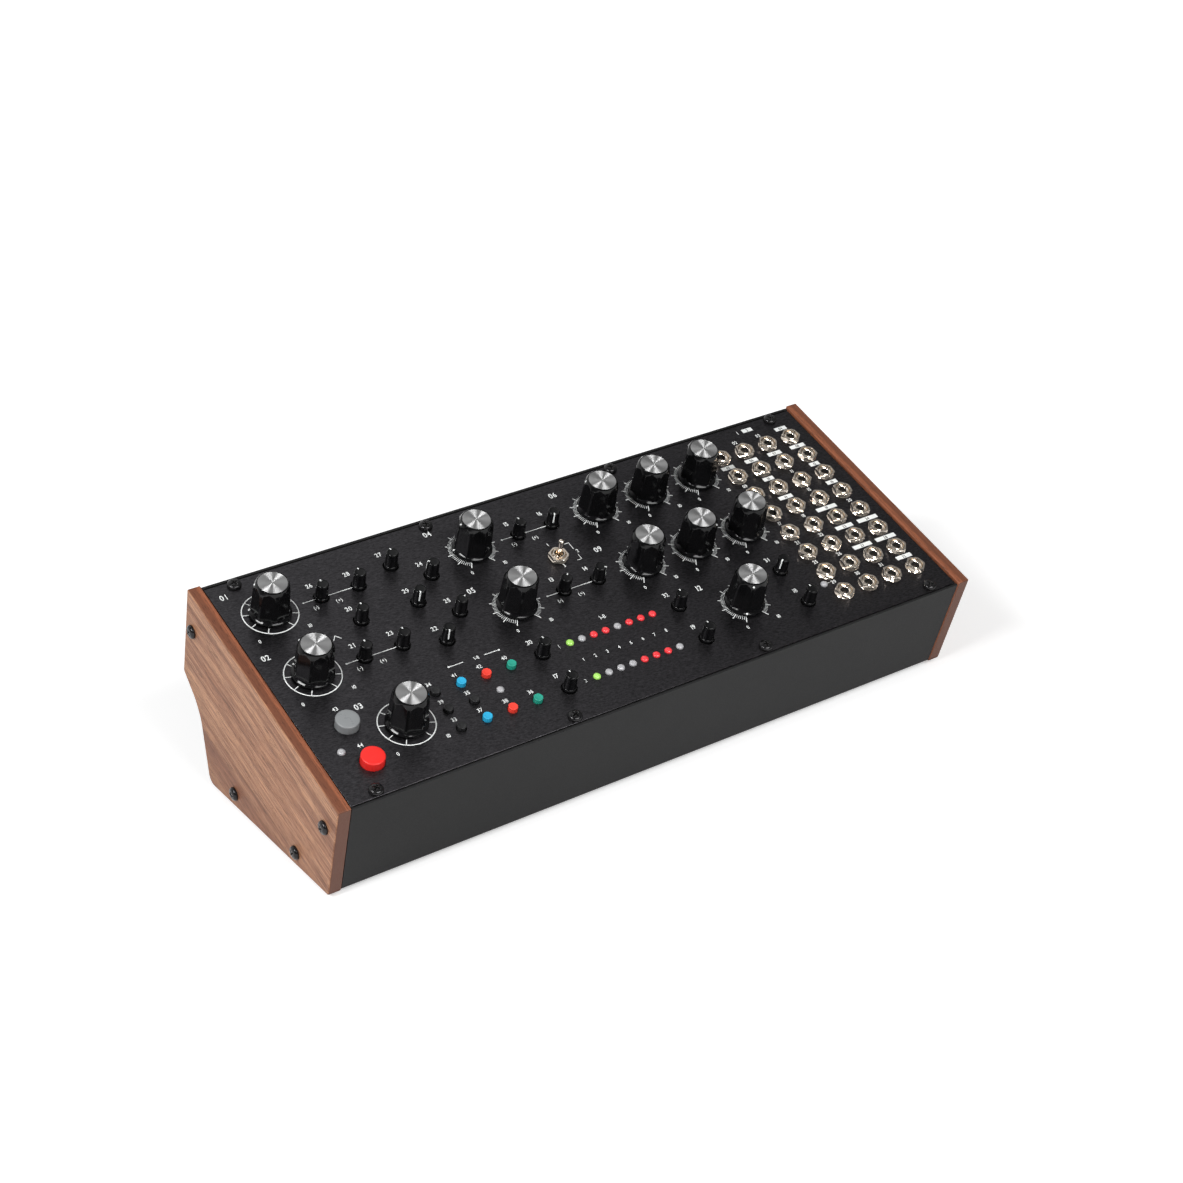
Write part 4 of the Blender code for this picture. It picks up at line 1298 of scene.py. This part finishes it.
def hex_nut(radius, foot, height, drop, top_share, bore, sides):
    """A hex nut standing on z = foot, chamfered by a drop on both faces, with a round bore."""
    deselect()
    middle = foot + height / 2
    bpy.ops.mesh.primitive_cylinder_add(vertices=6, radius=radius, depth=height, location=(0, 0, middle))
    nut = settle(named("nut"))
    outer = radius * 1.02
    top = foot + height
    cone = [(radius * 0.93, foot), (outer, foot + drop), (outer, top - drop), (radius * top_share, top)]
    cut(nut, turned("chamfer", cone, 48), "INTERSECT")
    cut(nut, turned("nut_bore", bore, sides))
    return finish(soften(nut, 0.00010, 28), nickel)


def build_nut():
    """The nut of a jack or of the toggle, its bore widened at both ends, clear of the panel."""
    radius = nut_flats / 2 / math.cos(math.pi / 6)
    r = barrel_radius
    bore = [(r * 1.10, -0.001), (r * 1.04, nut_height / 2), (r * 1.16, nut_height * 1.1)]
    nut = hex_nut(radius, 0, nut_height, nut_height * 0.17, 0.93, bore, 36)
    return settle(nut, Matrix.Translation((0, 0, nut_gap)))


def thread(start, turns, valley):
    """Crests and valleys of a thread on a barrel, from a height upwards."""
    rings = []
    for turn in range(turns):
        height = start + turn * thread_pitch
        rings += [(barrel_radius, height), (barrel_radius * valley, height + thread_pitch / 2)]
    return rings


def build_jack():
    """A jack at the panel's origin: nut, washer and threaded barrel as one, and the lining of its bore."""
    nut = build_nut()
    top = nut_gap + nut_height * 0.86
    barrel = [
        (barrel_radius, -0.0023),
        *thread(-0.0020, 8, 0.94),
        (barrel_radius * 0.98, top - 0.0002),
        (barrel_radius * 0.90, top),
        (bore_radius * 1.30, top),
        (bore_radius * 1.04, top - 0.00030),
        (bore_radius, top - 0.00040),
        (bore_radius, -0.0015),
    ]
    sleeve = finish(turned("barrel", barrel, 36), nickel)
    ring = [(washer_radius, 0.00002), (washer_radius, 0.00024), (washer_radius - 0.0001, nut_gap)]
    ring = finish(turned("jack_washer", ring + [(barrel_radius * 1.05, nut_gap)], 48), nickel)
    lining = [
        (bore_radius * 1.2, -bore_depth - 0.0004),
        (bore_radius * 1.2, -0.0022),
        (bore_radius * 0.985, -0.0020),
        (bore_radius * 0.985, top - 0.00042),
        (bore_radius * 0.92, top - 0.00048),
        (bore_radius * 0.88, -bore_depth),
    ]
    inside = finish(turned("socket_lining", lining, 24), bore_plastic)
    return joined("jack_front", [nut, sleeve, ring]), inside


def build_jacks():
    """The jack board: 32 jacks with their nuts, and the board behind the panel."""
    front, inside = build_jack()
    under = -panel_thickness - seat_gap
    board_top = -panel_thickness - jack_board_drop
    half = jack_body_half
    body = block("jack_body", (-half, -half, board_top), (half, half, under))
    bore = barrel_radius * 0.95
    cut(body, turned("body_bore", [(bore, board_top + 0.001), (bore, 0)], 24))
    soften(body, 0.0003, 40)
    finish(body, socket_plastic)
    fronts, insides, bodies = [], [], []
    for index, place in enumerate(jack_places()):
        turn = -(index * nut_turn_step % (math.pi / 3))
        fronts.append(copied(front, "front", on_panel(place, turn)))
        insides.append(copied(inside, "inside", on_panel(place)))
        bodies.append(copied(body, "body", on_panel(place)))
    for model in (front, inside, body):
        bpy.data.objects.remove(model)
    nuts = joined("jack_nuts", fronts)
    dress(nuts, "housing", "nickel", "jack_board")
    sockets = joined("jack_sockets", insides + bodies)
    dress(sockets, "housing", "black_plastic", "jack_board")
    left, right = jack_plate_ends
    low = (left, -jack_plate_reach, board_top - board_thickness)
    plate = block("jack_board_plate", low, (right, jack_plate_reach, board_top))
    soften(plate, 0.0002, 40)
    finish(settle(plate, panel), board)
    dress(plate, "housing", "circuit_board", "jack_board")


def build_toggle():
    """The toggle switch: body under the panel, threaded bushing with its nut, and the lever."""
    place = panel_place("toggle_lever")
    under = -panel_thickness - seat_gap
    half = Vector(toggle_can_half)
    body = block("toggle_can", (*-half, toggle_can_foot), (*half, under))
    soften(body, 0.0004, 40)
    finish(body, steel)
    nut = build_nut()
    bushing = [
        (barrel_radius, under),
        *thread(toggle_thread_start, 9, 0.93),
        (barrel_radius * 0.93, 0.0027),
        (barrel_radius * 0.88, 0.0029),
        (0.0022, 0.0029),
        (0.0021, 0.0020),
        (0.0021, -0.0019),
    ]
    sleeve = finish(turned("toggle_sleeve", bushing, 36), nickel)
    switch = joined("toggle_switch", [sleeve, nut, body])
    settle(switch, on_panel(place))
    dress(switch, "housing", "nickel", "toggle_body")
    lever = [
        (0.0008, -0.0014),
        (0.0015, -0.0009),
        (0.0018, 0.0),
        (0.0015, 0.0009),
        (0.00085, 0.0016),
        (0.00088, 0.0030),
        (0.00118, 0.0080),
        (0.00125, 0.0094),
        (0.00118, 0.0099),
        (0.00092, 0.0103),
        (0.00050, 0.01055),
        (0.00015, 0.0106),
    ]
    lever = finish(turned("toggle_lever_dressed", lever, 32), nickel)
    settle(lever, on_panel(place))
    dress(lever, "toggle_lever_body", "nickel", "toggle_lever")


# Underside and rear


def build_feet():
    """Round rubber feet with a moulded recess, copied to the four corners."""
    low, high = (Vector(corner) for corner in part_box("front_left_foot"))
    r = (high.x - low.x) / 2
    top = high.z
    profile = [
        (r * 0.30, 0.0009),
        (r * 0.34, 0.0005),
        (r * 0.42, 0.0),
        (r * 0.86, 0.0),
        (r * 0.93, 0.0002),
        (r * 0.99, top * 0.6),
        (r, top - 0.0003),
        (r * 0.98, top),
    ]
    model = finish(turned("foot", profile, 48), rubber)
    for name in ("front_left_foot", "front_right_foot", "rear_left_foot", "rear_right_foot"):
        low, high = (Vector(corner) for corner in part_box(name))
        place = Matrix.Translation(((low.x + high.x) / 2, (low.y + high.y) / 2, 0))
        dress(copied(model, name + "_rubber", place), "housing", "rubber", name)
    bpy.data.objects.remove(model)


def rear_body(name, half_width, half_height, depth):
    """A moulded body behind the rear wall."""
    inside = -sheet_thickness - seat_gap
    body = block(name, (-half_width, -half_height, inside - depth), (half_width, half_height, inside))
    return finish(soften(body, 0.0004, 40), socket_plastic)


def build_rear():
    """The output jack with its big nut and washer, and the power inlet with its pin."""
    inside = -sheet_thickness - seat_gap
    wall = rear_wall("output_jack")
    body = rear_body("output_body", *output_body)
    bore = [(0.0049, 0), (0.0049, 0.004)]
    nut = hex_nut(output_nut_radius, output_nut_foot, output_nut_height, 0.0004, 0.92, bore, 40)
    ring = [(0.0070, 0.0003), (0.0070, 0.0008), (0.0068, 0.0009), (0.0050, 0.0009)]
    washer = finish(turned("washer", ring, 48), steel)
    sleeve_profile = [
        (0.0047, inside),
        (0.0047, 0.0029),
        (0.0044, 0.0032),
        (0.0036, 0.0032),
        (0.00325, 0.0028),
        (0.00325, -0.018),
    ]
    sleeve = finish(turned("output_sleeve", sleeve_profile, 40), nickel)
    output = settle(joined("output_jack_dressed", [sleeve, nut, washer, body]), wall)
    dress(output, "housing", "nickel", "output_jack")

    wall = rear_wall("power_inlet")
    shell = rear_body("inlet_body", *inlet_body)
    collar_profile = [
        (0.0045, inside),
        (0.0045, 0.0001),
        (0.0043, 0.0003),
        (0.0034, 0.0003),
        (0.0031, 0.0000),
        (0.0031, -0.0095),
    ]
    collar = finish(turned("inlet_collar", collar_profile, 40), socket_plastic)
    pin_profile = [(0.0010, -0.0096), (0.0010, -0.0012), (0.0007, -0.0007), (0.0003, -0.0006)]
    pin = finish(turned("inlet_pin", pin_profile, 20), nickel)
    inlet = settle(joined("power_inlet_dressed", [collar, shell, pin]), wall)
    dress(inlet, "housing", "black_plastic", "power_inlet")


# Printing


def stroke(start, end, width=line_width):
    """A printed line between two places on the panel."""
    start, end = Vector(start), Vector(end)
    way = end - start
    deselect()
    bpy.ops.mesh.primitive_cube_add(
        size=1,
        location=(*((start + end) / 2), print_height / 2),
        rotation=(0, 0, math.atan2(way.y, way.x)),
        scale=(way.length, width, print_height),
    )
    return settle(named("stroke"))


def dot(place, radius):
    made = turned("print_dot", [(radius, 0), (radius, print_height)], 20)
    return settle(made, Matrix.Translation((*place, 0)))


def build_signs():
    """One flat solid for each digit and sign, a unit high, its left foot at the origin, with its width."""
    signs = {}
    for sign in "0123456789()+-":
        deselect()
        bpy.ops.object.text_add()
        piece = named("sign_" + str(len(signs)))
        piece.data.body = sign
        piece.data.size = 1 / sign_height
        piece.data.extrude = 0.5
        piece.data.offset = sign_swell
        piece.data.resolution_u = 3
        bpy.ops.object.convert(target="MESH")
        piece = settle(bpy.context.object, Matrix.Translation((0, 0, 0.5)))
        width = max(vertex.co.x for vertex in piece.data.vertices)
        signs[sign] = (piece, width + sign_gap)
    return signs


def number(signs, text, place, height, lift=0.0, align=0.5):
    """Digits set side by side on the panel; align is the share of their length left of the place."""
    narrow = sign_width_share
    length = sum(signs[sign][1] for sign in text) * height * narrow
    x = place[0] - length * align
    y = place[1] - height / 2
    digits = []
    for sign in text:
        model, width = signs[sign]
        size = Matrix.Diagonal((height * narrow, height, print_height, 1))
        digits.append(copied(model, "digit", Matrix.Translation((x, y, lift)) @ size))
        x += width * height * narrow
    return digits


def spoke(degrees, inner, outer, width):
    """A tick that points away from the origin; degrees run clockwise from up the slope."""
    angle = math.radians(degrees)
    way = Vector((math.sin(angle), math.cos(angle)))
    return stroke(way * inner, way * outer, width)


def repeat_round(piece, steps, degrees):
    """Repeats a piece clockwise about the origin, each time by the same angle."""
    edit(piece)
    bpy.ops.mesh.select_all(action="SELECT")
    turn = math.radians(steps * degrees)
    bpy.ops.mesh.spin(steps=steps, dupli=True, angle=turn, center=(0, 0, 0), axis=(0, 0, 1))
    done()
    return piece


def build_ring():
    """A ring with inward ticks, modelled at the origin: a circle of edges, extruded inwards and then up."""
    deselect()
    bpy.ops.mesh.primitive_circle_add(vertices=120, radius=ring_radius)
    ring = named("ring")
    edit(ring)
    bpy.ops.mesh.select_mode(type="EDGE")
    bpy.ops.mesh.select_all(action="SELECT")
    bpy.ops.mesh.extrude_region_move(TRANSFORM_OT_translate={"value": (0, 0, 0)})
    scale = (ring_radius - ring_width) / ring_radius
    bpy.ops.transform.resize(value=(scale, scale, 1), center_override=(0, 0, 0))
    bpy.ops.mesh.select_mode(type="FACE")
    bpy.ops.mesh.select_all(action="SELECT")
    bpy.ops.mesh.extrude_region_move(TRANSFORM_OT_translate={"value": (0, 0, print_height)})
    done()
    close_up(ring)
    ticks = repeat_round(spoke(dial_start, ring_tick_inner, ring_radius, line_width), 8, ring_tick_step)
    return joined("ring", [ring, ticks])


def build_dial():
    """Ticks from stop to stop, modelled at the origin: a long one every 30 degrees and fine ones every 5."""
    fine = spoke(dial_start + dial_fine_step, dial_inner, dial_fine_outer, line_width * 0.62)
    repeat_round(fine, 4, dial_fine_step)
    repeat_round(fine, 9, dial_step)
    long = repeat_round(spoke(dial_start, dial_inner, dial_outer, line_width * 1.15), 10, dial_step)
    return joined("dial", [fine, long])


def print_lines():
    """The lines that tie pairs of knobs and buttons together, and the brackets beside the toggle."""
    marks = []
    for first, second in (
        ("oscillator_envelope_knob", "oscillator_sequence_knob"),
        ("modulator_envelope_knob", "modulator_sequence_knob"),
        ("folder_envelope_knob", "folder_sequence_knob"),
        ("filter_envelope_knob", "filter_sequence_knob"),
    ):
        start, end = Vector(panel_place(first)), Vector(panel_place(second))
        left = start - Vector((tie_reach, 0))
        marks += [stroke(left, end), dot(left, tie_dot)]
    left, right = panel_place("upper_length_button")[0], panel_place("upper_flip_button")[0]
    middle = (left + right) / 2
    marks += [stroke((left, pair_line), (middle - pair_gap, pair_line), line_width)]
    marks += [stroke((middle + pair_gap, pair_line), (right, pair_line), line_width)]
    marks += [dot((x, pair_line), pair_dot) for x in (left, right)]
    x, y = panel_place("toggle_lever")
    for side, reach in bracket_reaches:
        far = y + side * reach
        near = y + side * reach * bracket_near_share
        marks += [stroke((x + bracket_ends[0], far), (x + bracket_ends[1], far), thin_line)]
        marks += [stroke((x + bracket_stem, far), (x + bracket_stem, near), thin_line)]
    knob = Vector(panel_place("modulator_pitch_knob"))
    for start, end in zip(peak, peak[1:]):
        marks += [stroke(knob + Vector(start), knob + Vector(end), thin_line)]
    x, y = single_lamps[-1]
    marks += [stroke((x + lamp_dash[0], y), (x + lamp_dash[1], y), thin_line)]
    return marks


def beside(signs, text, place, spot, **more):
    """A number that stands beside a place; its spot says how far off, and how high it is."""
    return number(signs, text, (place[0] + spot[0], place[1] + spot[1]), spot[2], **more)


def print_numbers(signs):
    """Plain numbers at the knobs, their stops, the buttons, the lamps and the toggle's three places."""
    marks = []
    for index, name in enumerate(large_knobs):
        x, y = panel_place(name)
        marks += beside(signs, f"{index + 1:02d}", (x, y), knob_number, align=0)
        spread = ringed_spread if name in ringed_knobs else 0
        marks += beside(signs, "0", (x - spread, y), low_stop)
        marks += beside(signs, "10", (x + spread * 0.6, y), high_stop)
    for index, name in enumerate(small_knobs):
        place = panel_place(name)
        marks += beside(signs, str(index + 13), place, small_number)
        if name.endswith("_envelope_knob"):
            marks += beside(signs, "(-)", place, minus_mark)
            marks += beside(signs, "(+)", place, plus_mark)
    for index, name in enumerate(small_buttons + large_buttons):
        spot = large_button_number if name in large_buttons else small_button_number
        marks += beside(signs, str(index + 33), panel_place(name), spot)
    for step in range(8):
        place = (lamp_start + step * lamp_pitch, lamp_number_line)
        marks += number(signs, str(step + 1), place, lamp_number_height)
    for text, row in (("1", "upper"), ("2", "lower")):
        marks += number(signs, text, (row_number_x, lamp_rows[row]), row_number_height)
    middle = lamp_start + lamp_pitch * 7 / 2
    marks += number(signs, "1-8", (middle, lamp_heading_line), lamp_heading_height)
    marks += number(signs, "1-8", (pair_number_x, pair_line), lamp_number_height)
    for text, spot in toggle_numbers.items():
        marks += beside(signs, text, panel_place("toggle_lever"), spot)
    return marks


def print_jack_numbers(signs):
    """A number over each jack: white for what goes in, dark on a white box for what comes out."""
    marks, dark = [], []
    for index, (x, y) in enumerate(jack_places()):
        text = f"{index + 1:02d}"
        y += jack_label_rise
        if index in output_boxes:
            half = output_boxes[index] / 2
            marks.append(stroke((x - half, y), (x + half, y), box_height))
            dark += number(signs, text, (x, y), boxed_height, print_height)
        else:
            marks += number(signs, text, (x, y), jack_number_height)
    x, y = jack_heading
    marks += number(signs, "1", (x - heading_gap, y), heading_height)
    marks.append(stroke((x, y), (x + heading_box, y), box_height))
    dark += number(signs, "2", (x + heading_box / 2, y), boxed_height, print_height)
    return marks, dark


def build_print():
    signs = build_signs()
    ring, dial = build_ring(), build_dial()
    marks = print_lines() + print_numbers(signs)
    for name in large_knobs:
        model = ring if name in ringed_knobs else dial
        marks.append(copied(model, "scale", Matrix.Translation((*panel_place(name), 0))))
    labels, dark = print_jack_numbers(signs)
    for model in (ring, dial, *(piece for piece, _ in signs.values())):
        bpy.data.objects.remove(model)
    white = finish(settle(joined("white_printing", marks + labels), panel), white_ink)
    dress(white, "housing", "black_anodised")
    black = finish(settle(joined("dark_printing", dark), panel), dark_ink)
    dress(black, "housing", "black_anodised")


# Floor, backdrop, lights and camera


def build_stage():
    """A white floor that glows towards its edge, and a white world that metal and glass see fall off."""
    deselect()
    bpy.ops.mesh.primitive_plane_add(size=12)
    floor = named("studio_floor")
    white = {"Base_Color": (0.80, 0.80, 0.80), "Roughness": 0.9, "Specular_IOR_Level": 0.1}
    made, tree, place = material("studio_white", **white)
    rise = ramp(tree, vectors(tree, "LENGTH", place)["Value"], [(0.18, 0.46), (0.75, 1.0)])
    in_view = maths(tree, "MAXIMUM", *seen(tree))
    glow = node(tree, "ShaderNodeEmission", Strength=maths(tree, "MULTIPLY", in_view, rise))
    both = tree.nodes.new("ShaderNodeAddShader")
    tree.links.new(principled(tree).outputs[0], both.inputs[0])
    tree.links.new(glow.outputs[0], both.inputs[1])
    tree.links.new(both.outputs[0], tree.nodes["Material Output"].inputs["Surface"])
    finish(floor, made)

    world = bpy.data.worlds.new("studio")
    world.use_nodes = True
    bpy.context.scene.world = world
    tree = world.node_tree
    way = tree.nodes.new("ShaderNodeTexCoord").outputs["Generated"]
    facing = vectors(tree, "DOT_PRODUCT", way, tuple(Vector(camera_place).normalized()))["Value"]
    room = ramp(tree, facing, [(0.15, 1.0), (0.55, 0.10)])
    side = ramp(tree, one_axis(tree, way, "X"), [(0.28, 1.0), (0.60, 0.20)])
    straight, mirrored = seen(tree)
    mirrored = maths(tree, "MULTIPLY", maths(tree, "MULTIPLY", mirrored, side), room)
    strength = maths(tree, "MAXIMUM", maths(tree, "MAXIMUM", mirrored, straight), 0.10)
    feed_all(tree, tree.nodes["Background"], {"Color": (1, 1, 1), "Strength": strength})


def seen(tree):
    """Whether the camera sees a place straight, and whether it does in metal or through glass."""
    path = tree.nodes.new("ShaderNodeLightPath").outputs
    return path["Is Camera Ray"], maths(tree, "MAXIMUM", path["Is Glossy Ray"], path["Is Transmission Ray"])


def build_light(name, place, size, power, target=(0, 0, 0.04)):
    light = bpy.data.lights.new(name, "AREA")
    light.shape = "RECTANGLE"
    light.size, light.size_y = size
    light.energy = power
    made = bpy.data.objects.new(name, light)
    bpy.context.scene.collection.objects.link(made)
    made.location = place
    made.rotation_euler = (Vector(target) - Vector(place)).to_track_quat("-Z", "Y").to_euler()


def build_camera():
    camera = bpy.data.cameras.new("camera")
    camera.lens = camera_lens
    camera.sensor_width = 36
    camera.sensor_fit = "HORIZONTAL"
    camera.shift_x, camera.shift_y = camera_shift
    camera.clip_start = 0.01
    made = bpy.data.objects.new("camera", camera)
    bpy.context.scene.collection.objects.link(made)
    made.location = camera_place
    made.rotation_euler = [math.radians(angle) for angle in camera_turn_degrees]
    bpy.context.scene.camera = made


build_camera()
build_stage()
build_light("front_softbox", (0.21, -1.15, 1.00), (1.0, 0.4), 14.0)
build_light("left_strip", (-1.07, -0.35, 1.05), (0.7, 0.2), 16.5)
bpy.context.scene.view_settings.view_transform = "Standard"

screw_head = build_panel()
build_case()
build_cheek("left_cheek", -1, screw_head)
build_cheek("right_cheek", 1, screw_head)
bpy.data.objects.remove(screw_head)
place_knobs(build_large_knob(), large_knobs)
place_knobs(build_small_knob(), small_knobs)
place_buttons(large_buttons, large_cap_radius, large_cap_rise, large_cap_dish)
place_buttons(small_buttons, small_cap_radius, small_cap_rise, small_cap_dish)
build_lamps()
build_jacks()
build_toggle()
build_feet()
build_rear()
build_print()
for node_name, look in (("control_board", board), ("front_bar", steel), ("rear_bar", steel)):
    finish(frame["nodes"][node_name], look)
